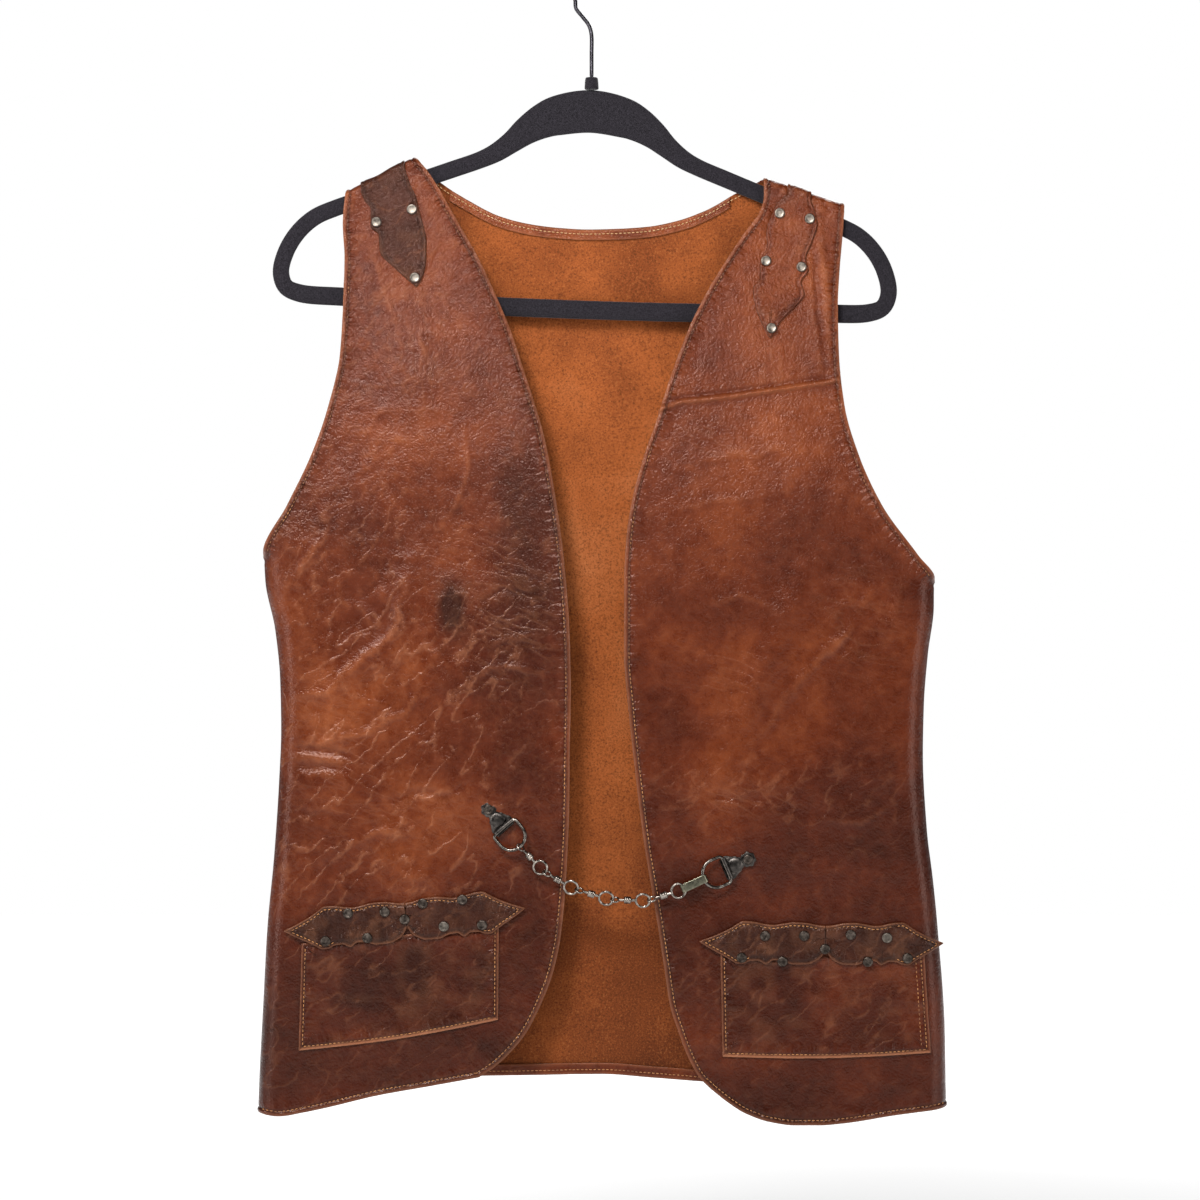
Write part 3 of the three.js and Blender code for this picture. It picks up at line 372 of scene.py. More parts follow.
# %% Noise and placed shapes
def value_noise(x, z, size, seed):
    """Soft hills from -1 to 1, size mm across: random heights on a lattice, blended with smooth steps."""
    lattice = np.random.default_rng(seed).uniform(-1, 1, (64, 64))
    a, b = x / size + 1000, z / size + 1000
    i, j = np.floor(a).astype(int), np.floor(b).astype(int)
    s, t = ease(a - i), ease(b - j)
    at = lambda p, q: lattice[(i + p) % 64, (j + q) % 64]
    low = at(0, 0) * (1 - s) + at(1, 0) * s
    high = at(0, 1) * (1 - s) + at(1, 1) * s
    return low * (1 - t) + high * t


def rumple(x, z, size, seed):
    """Sharp-crested wrinkles: 1 minus the absolute value of soft hills, taken at three scales."""
    total = 0
    for octave in range(3):
        warp = 0.35 * size * value_noise(x, z, size * 1.7, seed + 10)
        hills = value_noise(x + warp, z - warp, size / 2 ** octave, seed + octave)
        total = total + (1 - np.abs(hills)) ** 3 / 2 ** octave
    return total / 1.75


def blobs(rows, x, z):
    """Sum of placed soft spots: each row is x, z, half sizes and strength."""
    total = np.zeros(np.shape(x))
    for sx, sz, rx, rz, strength in rows:
        total += strength * np.exp(-(((x - sx) / rx) ** 2) - ((z - sz) / rz) ** 2)
    return total


def near_path(x, z, path):
    """Distance to a run of straight pieces and the share of the run at the nearest place."""
    path = np.array(path, float)
    step = np.diff(path, axis=0)
    length = np.hypot(*step.T)
    before = np.concatenate([[0], np.cumsum(length)])
    best, share = np.full(np.shape(x), 1e9), np.zeros(np.shape(x))
    for k in range(len(step)):
        dx, dz = x - path[k, 0], z - path[k, 1]
        t = np.clip((dx * step[k, 0] + dz * step[k, 1]) / length[k] ** 2, 0, 1)
        off = np.hypot(dx - t * step[k, 0], dz - t * step[k, 1])
        closer = off < best
        best = np.where(closer, off, best)
        share = np.where(closer, (before[k] + t * length[k]) / before[-1], share)
    return best, share


# %% Long creases
# Creases: piece, height (negative for a trough), half width, then the run.
CREASES = [
    ("front_right", -1.9, 1.9, [(-221, -573), (-200, -571), (-171, -574)]),
    ("front_right", -1.7, 1.9, [(-220, -585), (-196, -583), (-173, -586)]),
    ("front_right", 1.5, 3.0, [(-222, -579), (-198, -577), (-172, -580)]),
    ("front_right", 1.4, 2.4, [(-186, -530), (-159, -504), (-142, -493), (-136, -465), (-129, -447)]),
    ("front_right", 1.0, 2.2, [(-207, -570), (-164, -561), (-129, -543), (-122, -522)]),
    ("front_right", 0.9, 2.4, [(-219, -537), (-198, -532), (-175, -527)]),
    ("front_right", -0.9, 2.2, [(-218, -614), (-196, -617), (-175, -618)]),
    ("front_right", 0.9, 2.0, [(-225, -647), (-207, -643)]),
    ("front_right", 1.1, 2.2, [(-214, -452), (-200, -436), (-190, -420), (-186, -398)]),
    ("front_right", -0.9, 2.0, [(-150, -610), (-128, -600), (-104, -604), (-84, -596)]),
    ("front_right", 0.9, 2.2, [(-176, -640), (-150, -628), (-120, -632)]),
    ("front_right", 0.8, 2.0, [(-112, -420), (-96, -398), (-88, -370), (-92, -340)]),
    ("front_right", -0.8, 2.2, [(-168, -470), (-150, -452), (-140, -425)]),
    ("front_right", 0.8, 1.9, [(-84, -520), (-62, -512), (-36, -516)]),
    ("front_right", 0.8, 1.8, [(-80, -500), (-58, -492), (-34, -490)]),
    ("front_right", -0.7, 1.8, [(-82, -466), (-60, -458), (-38, -462)]),
    ("front_right", 0.7, 2.0, [(-122, -262), (-120, -290), (-124, -318)]),
    ("front_left", 0.9, 4.0, [(205, -451), (180, -490), (141, -529), (120, -560), (106, -579)]),
    ("front_left", 0.6, 2.2, [(52, -401), (90, -396), (123, -391)]),
    ("front_left", -0.6, 2.0, [(77, -603), (100, -606), (127, -606)]),
    ("front_left", 0.6, 2.4, [(60, -372), (88, -364), (118, -362), (150, -352)]),
    ("front_left", -0.6, 2.4, [(196, -470), (176, -500), (150, -520)]),
    ("front_left", 0.6, 2.2, [(214, -610), (190, -622), (160, -620)]),
    ("front_left", 0.6, 2.4, [(76, -470), (104, -462), (130, -470)]),
    ("front_left", -1.2, 2.2, [(157, -207), (160, -250), (164, -285), (166.5, -308)]),
    ("front_left", 1.4, 3.2, [(163, -205), (166, -240), (170, -280)]),
    ("front_left", -0.8, 1.6, [(155, -180), (166, -184), (180, -187.5)]),
    ("front_left", 0.7, 1.6, [(120, -240), (134, -246), (150, -242)]),
    ("front_left", 0.6, 1.5, [(120, -247), (135, -253), (151, -249)]),
    ("back", 1.3, 4.0, [(-190, -470), (-150, -520), (-120, -590)]),
    ("back", 1.1, 3.6, [(190, -480), (150, -500), (118, -560)]),
    ("back", -1.2, 4.4, [(-60, -300), (-30, -340), (10, -352)]),
    ("back", 1.0, 4.0, [(40, -620), (70, -680), (76, -760)]),
]
CREASE_LINE = [
    (46, -331), (52.2, -328.5), (64.3, -324.5), (84.1, -322.6), (104, -320), (123.9, -317),
    (143.8, -314.1), (167.9, -310.6), (175, -309)]


print("long creases:", len(CREASES))


# %% Folds and creases of a piece
def folds(piece, x, z):
    """Height of the placed creases: a bell across each run, fading to its ends, wavering along it."""
    high = np.zeros(np.shape(x))
    for k, (where, height, half, path) in enumerate(CREASES):
        if where != piece:
            continue
        waver = 1.6 * value_noise(x, z, 9, 40 + k)
        off, share = near_path(x + waver, z - waver, path)
        high += height * np.sin(np.pi * np.clip(share, 0.04, 0.96)) ** 0.7 * np.exp(-((off / half) ** 2))
    return high


def broad(piece, x, z):
    """Wide soft folds that the solids have too: straight runs, each a bell across its run."""
    high = np.zeros(np.shape(x))
    for where, x1, z1, x2, z2, height, half in BROAD:
        if where == piece:
            off, share = near_path(x, z, [(x1, z1), (x2, z2)])
            high += height * np.sin(np.pi * (0.15 + 0.7 * share)) * np.exp(-((off / half) ** 2))
    return high


BROAD = [
    ("front_left", 150, -445, 95, -585, 1.8, 11),
    ("front_left", 160, -180, 162, -300, 1.2, 8),
    ("front_right", -184, -525, -140, -500, 1.8, 10),
    ("front_right", -140, -500, -128, -440, 1.6, 10),
    ("front_right", -222, -573, -172, -578, -2, 8),
    ("back", -110, -780, -80, -560, 2.2, 16),
    ("back", 95, -770, 60, -520, 2.4, 18),
    ("back", -5, -235, -2, -420, 1.4, 14),
    ("back", 205, -520, 120, -470, 2, 14),
]

# %% Relief of a piece
SWELLS = {
    "front_right": [
        (-205, -470, 26, 60, 2.6), (-120, -600, 55, 45, 1.6), (-60, -480, 30, 70, -1.2),
        (-130, -300, 40, 50, 1.2)],
    "front_left": [
        (150, -390, 60, 36, 1.8), (60, -560, 30, 80, -1.2), (200, -560, 32, 70, 1.6),
        (120, -680, 60, 30, -1.0)],
    "back": [(-90, -380, 60, 80, 1.2), (110, -430, 60, 70, 1.0), (0, -640, 90, 70, -1.2)],
}
GATHERS = {"front_right": 0.8, "front_left": 1.5, "back": 1.0}


def relief(piece, x, z):
    """Creases, rumple and broad swells of a piece, away from its seams and shoulder line."""
    down = ridge_z(x) - z
    inward = ease(in_from_side(x, z) / 28) * ease(down / 26)
    high = broad(piece, x, z) + folds(piece, x, z) + blobs(SWELLS[piece], x, z)
    if piece == "front_right":
        towards_side = 0.3 + 0.7 * ease((-40 - x) / 100)
        worn = ease((-150 - z) / 60) * towards_side * (1 - 0.75 * ease((-660 - z) / 60))
        high = high + worn * (1.5 * rumple(x, z, 42, 3) - 0.6) + 0.95 * worn * (rumple(x, z, 21, 13) - 0.4)
        high = high + 0.9 * value_noise(x, z, 60, 5)
    elif piece == "front_left":
        above = z - np.interp(x, *np.array(CREASE_LINE).T)
        ridge = 2.1 * np.exp(-((above / 1.7) ** 2)) - 0.5 * np.exp(-(((above - 3.6) / 1.5) ** 2))
        high = high + np.where((x > 40) & (x < 176), ridge, 0)
        high = high + 0.7 * (rumple(x, z, 48, 23) - 0.4) + 0.4 * (rumple(x, z, 21, 27) - 0.4)
        high = high + 0.9 * value_noise(x, z, 75, 25)
    else:
        high = high + 0.5 * rumple(x, z, 60, 33) + 0.2 * (rumple(x, z, 24, 37) - 0.4)
        high = high + value_noise(x, z, 80, 35)
    gathered = GATHERS[piece] * np.abs(value_noise(x, z, 6.5, 51))
    gathered = gathered * ease(down / 3) * np.exp(-((down / 15) ** 2))
    return inward * high + gathered * ease(in_from_side(x, z) / 8)


# %% Face of a piece
def depth(piece, x, z, with_relief=True):
    """Height of the outer face off the hanger's plane."""
    kind = "back" if piece == "back" else "front"
    down = ridge_z(x) - z
    roll = quarter(in_from_side(x, z) / SIDE_ROLL)
    over = (DRAPE - SEAM_DEPTH) * quarter(down / DRAPE)
    over = over + (FULL_DEPTH[kind] - DRAPE) * ease(down / SETTLE[kind])
    high = SEAM_DEPTH + roll * over
    return high + relief(piece, x, z) if with_relief else high


def facing_out(piece, x, z):
    """Unit direction out of the face, from central differences of the depth; level on a seam."""
    sign = 1.0 if piece == "back" else -1.0
    step = 0.05
    dx = (depth(piece, x + step, z) - depth(piece, x - step, z)) / (2 * step)
    dz = (depth(piece, x, z + step) - depth(piece, x, z - step)) / (2 * step)
    on_seam = depth(piece, x, z, False) < SEAM_DEPTH + 0.05
    normal = np.stack([-dx, np.where(on_seam, 0, sign), -dz], axis=-1)
    return normal / np.maximum(np.linalg.norm(normal, axis=-1, keepdims=True), 1e-9)


def on_face(piece, x, z, lift=0.0):
    """Points of the face at places (x, z), moved straight out by lift."""
    sign = 1.0 if piece == "back" else -1.0
    points = np.stack([x, sign * depth(piece, x, z), z], axis=-1)
    return points + facing_out(piece, x, z) * np.asarray(lift)[..., None]


print("front at its pocket:", depth("front_right", np.array([-120.0]), np.array([-600.0])))

# %% [markdown]
# ## Grids over a piece
# Between four edges a grid is laid by bilinear blending. Its lines crowd in millimetres at the
# edges, where the leather is turned and stitched, so that the turned edge has a form of its own.

# %% Grid between four edges
NEAR_EDGE = np.array([0, 0.25, 0.6, 1.1, 1.7, 2.4, 3.1, 3.8, 4.6, 5.6, 7.0, 9.0])
NEAR_SIDE = np.array([0, 0.05, 0.2, 0.45, 0.8, 1.3, 1.9, 2.7, 3.6, 4.6, 5.8, 7.4, 9.4, 12.0])
NEAR_SHOULDER = np.array([0, 0.05, 0.2, 0.45, 0.8, 1.3, 1.9, 2.6, 3.4, 4.4, 5.6, 7.0, 9.0])
CELL = 2.2


def crowd(width, near_start, near_end, cell=CELL):
    """Fractions across each width: fixed distances at both ends and even steps between them."""
    width = np.atleast_1d(width)[:, None]
    count = max(2, int(np.ceil((width.max() - near_start[-1] - near_end[-1]) / cell)))
    middle = np.linspace(0, 1, count + 1)[None, 1:-1]
    squeeze = np.minimum(1, 0.42 * width / max(near_start[-1], near_end[-1]))
    start, end = near_start[None] * squeeze / width, near_end[None] * squeeze / width
    a, b = start[:, -1:], 1 - end[:, -1:]
    ends = start, 1 - end[:, ::-1]
    return np.concatenate([ends[0], a + (b - a) * middle, ends[1]], axis=1)


def between(top, bottom, left, right, u, v):
    """Places for fractions u (row, column) and v (row): the two ruled blends less the corners' blend."""
    v = v[:, None]
    u3, v3 = u[..., None], v[..., None]
    ends = np.array([0.0, 1.0])
    t, b = top(ends), bottom(ends)
    ruled = top(u) * (1 - v3) + bottom(u) * v3 + left(v) * (1 - u3) + right(v) * u3
    corners = (t[0] * (1 - u3) + t[1] * u3) * (1 - v3) + (b[0] * (1 - u3) + b[1] * u3) * v3
    return ruled - corners


def line_of(fn, start, end):
    """Edge as a function of a fraction: x runs from start to end and z follows fn."""
    def edge(s):
        x = start + (end - start) * np.asarray(s, float)
        return np.stack([x, fn(x)], axis=-1)
    return edge


def edge_by_height(fn, stations, key):
    """Edge as a function of a fraction: z runs through the stations and x follows fn."""
    def edge(s):
        z = np.interp(np.asarray(s, float), stations["v"], stations[key])
        return np.stack([fn(z), z], axis=-1)
    return edge


# %% Grids of the fronts and the back
RIGHT_ROWS = {"v": [0, 0.4, 1], "outer": [-174, -433.8, -829], "inner": [-150.2, -414, -803]}
LEFT_ROWS = {
    "v": [0, 0.2, 0.42, 1], "outer": [-183.2, -309, -451, -825], "inner": [-164.7, -329.5, -446, -811.5]}


def front_edges(side):
    """The four edges of a front: top, bottom, outer and inner."""
    rows = RIGHT_ROWS if side == "right" else LEFT_ROWS
    outer = edge_by_height(outer_x[side], rows, "outer")
    inner = edge_by_height(inner_x[side], rows, "inner")
    ends = np.array([0.0, 1.0])
    (x0, _), (x1, _) = outer(ends)
    (x2, _), (x3, _) = inner(ends)
    return line_of(ridge_z, x0, x2), line_of(hem_z[side], x1, x3), outer, inner


LENGTH = 650.0
ROW_STEP = 2.2
NEAR_RIDGE = 0.2 + np.linspace(-0.014, 0.014, 25)


def row_fractions(more=()):
    """Fractions down a piece, crowded at the shoulder and the hem and wherever more are given."""
    return np.union1d(crowd(LENGTH, NEAR_SHOULDER, NEAR_EDGE, ROW_STEP)[0], more)


def front_places(side):
    """Grid of places over a front."""
    top, bottom, outer, inner = front_edges(side)
    v = row_fractions(NEAR_RIDGE if side == "left" else ())
    width = np.linalg.norm(outer(v) - inner(v), axis=-1)
    return between(top, bottom, outer, inner, crowd(width, NEAR_SIDE, NEAR_EDGE), v)


def back_edges():
    """The four edges of the back: its top runs over one shoulder, along the neckline and over the other."""
    neck = 0.13

    def top(s):
        s = np.asarray(s, float)
        x = np.interp(s, [0, neck, 1 - neck, 1], [-172.5, -124.6, 122.5, 177.5])
        in_neck = (s > neck) & (s < 1 - neck)
        return np.stack([x, np.where(in_neck, neckline_z(x), ridge_z(x))], axis=-1)

    def side_edge(side, top_z, bottom_z):
        def edge(s):
            z = np.interp(s, [0, 0.4, 1], [top_z, ARMPIT[side], bottom_z])
            taken_in = 2.5 * ease((z - ARMPIT[side]) / 30)
            return np.stack([outer_x[side](z) + (taken_in if side == "right" else -taken_in), z], axis=-1)
        return edge

    bottom = line_of(hem_z["back"], -237.5, 252.6)
    ends = top(np.array([0.0, 1.0]))
    return top, bottom, side_edge("right", ends[0, 1], -829), side_edge("left", ends[1, 1], -825)


def back_places():
    """Grid of places over the back."""
    top, bottom, left, right = back_edges()
    v = row_fractions()
    width = np.linalg.norm(left(v) - right(v), axis=-1)
    return between(top, bottom, left, right, crowd(width, NEAR_SIDE, NEAR_SIDE, 4.2), v)


print("rows of points down a piece:", len(row_fractions()))


# %% [markdown]
# ## Turned edges
# The opening edges, armholes and hems are folded under and stitched 3.5 mm in. A turned edge is
# twice as thick, so it stands up a little, its rim is round, and the stitching pulls it into a
# groove with small puckers across it.

# %% Edge distances
STITCH_IN = 3.5


def nearest_on(places, run):
    """Distance from each place to the nearest point of a run, and the length along the run there."""
    flat = places.reshape(-1, 2)
    along = lengths_along(run)
    best = np.empty(len(flat))
    where = np.empty(len(flat))
    for start in range(0, len(flat), 4000):
        part = flat[start:start + 4000]
        gap = np.hypot(part[:, None, 0] - run[None, :, 0], part[:, None, 1] - run[None, :, 1])
        k = gap.argmin(axis=1)
        best[start:start + 4000] = gap[np.arange(len(part)), k]
        where[start:start + 4000] = along[k]
    return best.reshape(places.shape[:2]), where.reshape(places.shape[:2])


def turned_edge(distance, along, seed, pucker=1.0):
    """Height of a turned edge: round at the rim, full to the stitches, a groove there, then puckers."""
    rim = -1.0 * (1 - quarter(distance / 1.4))
    raised = 0.7 * (1 - ease((distance - 2.4) / 2.0))
    groove = -0.6 * np.exp(-(((distance - STITCH_IN) / 0.9) ** 2))
    bumps = value_noise(along, 0 * along, 6.5, seed)
    reach = np.where(distance > STITCH_IN + 1, 4.6, 1.6)
    puckers = 0.4 * pucker * bumps * np.exp(-(((distance - STITCH_IN - 1) / reach) ** 2))
    return rim + raised + groove + puckers


def stretch(edge, count=900):
    """Even run of points along an edge."""
    return edge(np.linspace(0, 1, count))


STITCHED = {}
for side in ("right", "left"):
    top, bottom, outer, inner = front_edges(side)
    hem = stretch(bottom)[::-1]
    STITCHED["front_" + side] = {
        "opening": np.concatenate([stretch(inner), hem]),
        "armhole": stretch(outer)[stretch(outer)[:, 1] > ARMPIT[side]],
    }
STITCHED["back"] = {"hem": stretch(back_edges()[1], 1200)}
print("points along each stitched edge:", {k: len(e) for runs in STITCHED.values() for k, e in runs.items()})


# %% [markdown]
# ## Leather
# Old vegetable-tanned cowhide, aniline dyed: a warm red-brown that has darkened where it was
# touched and gone pale where it bends. Dye sinks in unevenly, so the colour drifts over tens of
# millimetres. Pores and grain are about a millimetre, and a net of fine creases crosses it.
# The wax finish is worn to a satin, so the roughness is middling and uneven.
# Its colour also holds painted light: hollows and stitched grooves are darkened as painted shade, the top is
# paler as painted light, and crests, rims and the upper straps are paled as painted highlight and sheen.

# %% Leather material
def crease_net(node, place, scale, sharp, peak=1.0):
    """Wandering thin creases: at their peak where a noise passes its middle value, sharp to each side."""
    hills = node("TexNoise", {"Vector": place, "Scale": scale, "Detail": 1.5, "Roughness": 0.5})
    off = node("Math", {0: node("Math", {0: hills, 1: 0.5}, operation="SUBTRACT")}, operation="ABSOLUTE")
    return node("MapRange", {"Value": off, "From Max": 1 / sharp, "To Min": peak, "To Max": 0.0})


def leather(name, stops, rough=(0.24, 0.4), grain=1.0):
    """Aged smooth leather: drifting dye, pale creases, crests and rims paled partly as a painted highlight,
    grooves darkened as painted shade, pebbled grain.
    """
    material, node, shader = new_material(name)
    place = node("TexCoord", {}, "Object")
    tone, wear, crazed, streak, pucker, run = (
        node("Attribute", {}, "Fac", attribute_name=key)
        for key in ("tone", "wear", "net", "streak", "pucker", "along"))
    drift, blotch, soft, fine = (
        node("TexNoise", {"Vector": place, "Scale": scale, "Detail": detail, "Roughness": uneven})
        for scale, detail, uneven in ((15, 4, 0.6), (95, 4, 0.7), (210, 3, 0.65), (900, 2, 0.7)))

    # Dye and painted shade: three drifts added up, the third being the tone attribute with its stains and its
    # painted shade and light, from the darkest stop to the palest.
    mix = node("Math", {0: drift, 1: 0.7, 2: -0.01}, operation="MULTIPLY_ADD")
    mix = node("Math", {0: blotch, 1: 0.32, 2: mix}, operation="MULTIPLY_ADD")
    mix = node("Math", {0: tone, 1: 0.42, 2: mix}, operation="MULTIPLY_ADD", use_clamp=True)
    dye_and_shade = node("ValToRGB", {"Fac": mix}, stops=stops)

    # Creases: long slanting ones, a faint net, and level or upright wrinkles where streak is set.
    bent = node("TexNoise", {"Vector": place, "Scale": 42, "Detail": 3, "Roughness": 0.65}, "Color")
    moved, nudged = (
        node("VectorMath", {0: bent, 1: (far, far, far), 2: place}, operation="MULTIPLY_ADD")
        for far in (0.012, 0.006))
    flowing, level, upright = (
        node("Mapping", {"Vector": at, "Rotation": (0, turn, 0), "Scale": (longer, 1, 1)},
             vector_type="TEXTURE")
        for at, turn, longer in ((moved, -0.75, 3.0), (nudged, 0.3, 5.0), (nudged, np.pi / 2, 5.0)))
    broken = node("MapRange", {"Value": blotch, "From Min": 0.4, "From Max": 0.4 + 1 / 6, "To Max": crazed})
    patchy = node("MapRange", {"Value": drift, "From Min": 0.36, "From Max": 0.56, "To Max": crazed})
    across, along = (
        node("Math", {0: streak, 1: by}, operation="MULTIPLY", use_clamp=True) for by in (0.65, -0.65))
    net = 0.0
    for at, scale, sharp, peak, reach in ((flowing, 66, 26, 1.0, broken), (moved, 130, 12, 0.3, patchy),
                                          (level, 130, 15, 1.0, across), (upright, 130, 15, 1.0, along)):
        line = node("Math", {0: crease_net(node, at, scale, sharp, peak), 1: reach}, operation="MULTIPLY")
        net = node("Math", {0: net, 1: line}, operation="MAXIMUM")
    # The net's pale creases, and the paling at rims and crests, which is partly wear and partly a painted
    # highlight.
    worn_and_highlit = node("Math", {0: wear, 1: 0.5}, operation="MULTIPLY")
    paled = node("Math", {0: net, 1: 0.23, 2: worn_and_highlit}, operation="MULTIPLY_ADD", use_clamp=True)
    hide = node("MixRGB", {"Fac": paled, "Color1": dye_and_shade, "Color2": "#ab7150"})

    # Relief: creases, puckers along the stitches, and a pebbled grain 2 mm across, coarser near the shoulder.
    pebble = node("TexVoronoi", {"Vector": moved, "Scale": 520})
    grainy = node("Math", {0: fine, 1: pebble}, operation="SUBTRACT")
    grainy = node("Math", {0: grainy, 1: 0.5}, operation="MULTIPLY")
    ribs = node("TexNoise", {"W": run, "Scale": 0.2, "Detail": 1}, noise_dimensions="1D")
    ribs = node("MapRange", {"Value": ribs, "From Min": 0.35, "From Max": 0.35 + 1 / 3, "To Max": pucker})
    height = node("SeparateXYZ", {0: place}, "Z")
    coarse = node("MapRange", {"Value": height, "From Min": -0.5, "From Max": -0.22,
                               "To Min": 0.3 * grain, "To Max": 0.85 * grain})
    under = {}
    for high, strength, rise in ((net, 0.5, 0.0008), (ribs, 1.0, 0.0013), (soft, coarse, 0.0012),
                                 (grainy, coarse, 0.0011)):
        under = {"Normal": node("Bump", {"Height": high, "Strength": strength, "Distance": rise, **under})}
    satin = node("MapRange", {"Value": blotch, "From Min": 0.35, "From Max": 0.65,
                              "To Min": rough[0], "To Max": rough[1]})
    set_inputs(shader, {
        "Base Color": hide, "Roughness": satin,
        "IOR": 1.5, "Specular IOR Level": 0.28, "Specular Tint": "#ffc8b4",
        "Coat Weight": 0.15, "Coat Roughness": 0.2, "Coat Normal": under["Normal"], **under})
    return material


BROWN = [(0.18, "#250a04"), (0.4, "#3c1306"), (0.56, "#501e0a"), (0.72, "#662d11"), (0.9, "#80401d")]
DARK = [(0.18, "#140704"), (0.42, "#210c06"), (0.6, "#2f130a"), (0.8, "#432014")]
leather_brown = leather("aniline_cowhide", BROWN)
leather_dark = leather("dark_cowhide", DARK, rough=(0.28, 0.42), grain=1.3)
print("nodes in the leather:", len(leather_brown.node_tree.nodes))

# %% [markdown]
# The flesh side of the same hide shows inside the back: orange suede, brushed to a short nap. It is
# dull, with a soft sheen at a grazing angle, darker specks where the nap is gone, and it darkens
# towards the hem. Its top is darkened too, as painted shade.

# %% Suede material
def suede():
    """Napped flesh side: orange that turns brown down the back and is darkened at the top as painted shade,
    under a dense fleck and a soft sheen.
    """
    material, node, shader = new_material("napped_suede")
    place = node("TexCoord", {}, "Object")
    height = node("SeparateXYZ", {0: place}, "Z")
    rise = node("MapRange", {"Value": height, "From Min": -0.83, "From Max": -0.6,
                             "To Min": -0.07, "To Max": 0.23})
    # Painted shade: the top of the suede is darkened where the shoulders and the hanger's bar shade it.
    shaded_top = node("MapRange", {"Value": height, "From Min": -0.38, "From Max": -0.15, "To Max": -0.15})
    drift = node("TexNoise", {"Vector": place, "Scale": 13, "Detail": 4, "Roughness": 0.6})
    mix = node("Math", {0: rise, 1: shaded_top}, operation="ADD")
    mix = node("Math", {0: drift, 1: 0.75, 2: mix}, operation="MULTIPLY_ADD")
    dye_and_shade = node("ValToRGB", {"Fac": mix}, stops=[
        (0.2, "#5a2a11"), (0.42, "#733918"), (0.6, "#954f24"), (0.85, "#ad663a")])
    nap = node("TexNoise", {"Vector": place, "Scale": 760, "Detail": 3, "Roughness": 0.8})
    bare = node("MapRange", {"Value": nap, "From Min": 0.5 - 1 / 7, "From Max": 0.5,
                             "To Min": 0.65, "To Max": 0.0})
    raised = node("MapRange", {"Value": nap, "From Min": 0.56, "From Max": 0.56 + 1 / 6, "To Max": 0.4})
    flecked = node("MixRGB", {"Fac": bare, "Color1": dye_and_shade, "Color2": "#32150a"})
    lit = node("MixRGB", {"Fac": raised, "Color1": flecked, "Color2": "#bd7c48"})
    set_inputs(shader, {
        "Base Color": lit, "Normal": node("Bump", {"Height": nap, "Strength": 0.8, "Distance": 0.001}),
        "Roughness": 0.95, "Specular IOR Level": 0.15,
        "Sheen Weight": 0.25, "Sheen Roughness": 0.5, "Sheen Tint": "#e0a070"})
    return material


leather_suede = suede()
print("nodes in the suede:", len(leather_suede.node_tree.nodes))


# %% [markdown]
# The metal is plated steel that has dulled in patches, so one noise drives both its colour and its
# roughness. Flock is cut nylon standing in glue, which swallows light. Thread is twisted and waxed,
# so it has a fine bump, and it has taken up dirt near the shoulders.


# %% Metals, flock and thread
def metal(name, stops, rough):
    """Plated steel or nickel: a metal whose colour and roughness drift where it has tarnished."""
    material, node, shader = new_material(name)
    place = node("TexCoord", {}, "Object")
    tarnish = node("TexNoise", {"Vector": place, "Scale": 300, "Detail": 5, "Roughness": 0.65})
    dulled = node("MapRange", {"Value": tarnish, "From Min": 0.3, "From Max": 0.7,
                               "To Min": rough[0], "To Max": rough[1]})
    bump = node("Bump", {"Height": tarnish, "Strength": 0.08, "Distance": 0.0003})
    colour = node("ValToRGB", {"Fac": tarnish}, stops=stops)
    set_inputs(shader, {"Base Color": colour, "Roughness": dulled, "Normal": bump, "Metallic": 1.0})
    return material


TARNISH = (0.35, 0.5, 0.65)
METALS = {
    "tarnished_nickel": (("#5b544e", "#8a827a", "#b0a89e"), (0.18, 0.36)),
    "worn_stud_nickel": (("#4f4943", "#736b62", "#90887e"), (0.32, 0.48)),
    "blackened_stud": (("#2e2824", "#4c443e", "#6b6159"), (0.3, 0.46)),
    "blackened_steel": (("#2e2b29", "#45413e", "#645e59"), (0.26, 0.42)),
    "dark_nickel_wire": (("#413c38", "#625c56", "#8a837b"), (0.18, 0.32)),
}
nickel_old, stud_nickel, stud_dark, gunmetal, dark_nickel = (
    metal(name, list(zip(TARNISH, colours)), rough) for name, (colours, rough) in METALS.items())
wire_dark = metal("black_nickel_wire", [(0.3, "#2c2a2e"), (0.7, "#4a484d")], (0.22, 0.36))
connector_green = metal("bronzed_strip", [(0.35, "#59584b"), (0.65, "#817e6c")], (0.25, 0.4))


def flock():
    """Black nylon flock: very dark and rough, with a grey sheen at grazing angles and fine tufts."""
    material, node, shader = new_material("black_flock")
    tufts = node("TexNoise", {"Vector": node("TexCoord", {}, "Object"), "Scale": 1400, "Detail": 3})
    set_inputs(shader, {
        "Base Color": node("ValToRGB", {"Fac": tufts}, stops=[(0.3, "#121013"), (0.7, "#2b282d")]),
        "Normal": node("Bump", {"Height": tufts, "Strength": 0.7, "Distance": 0.0004}),
        "Roughness": 1.0, "Specular IOR Level": 0.1, "Sheen Weight": 0.25, "Sheen Roughness": 0.4})
    return material


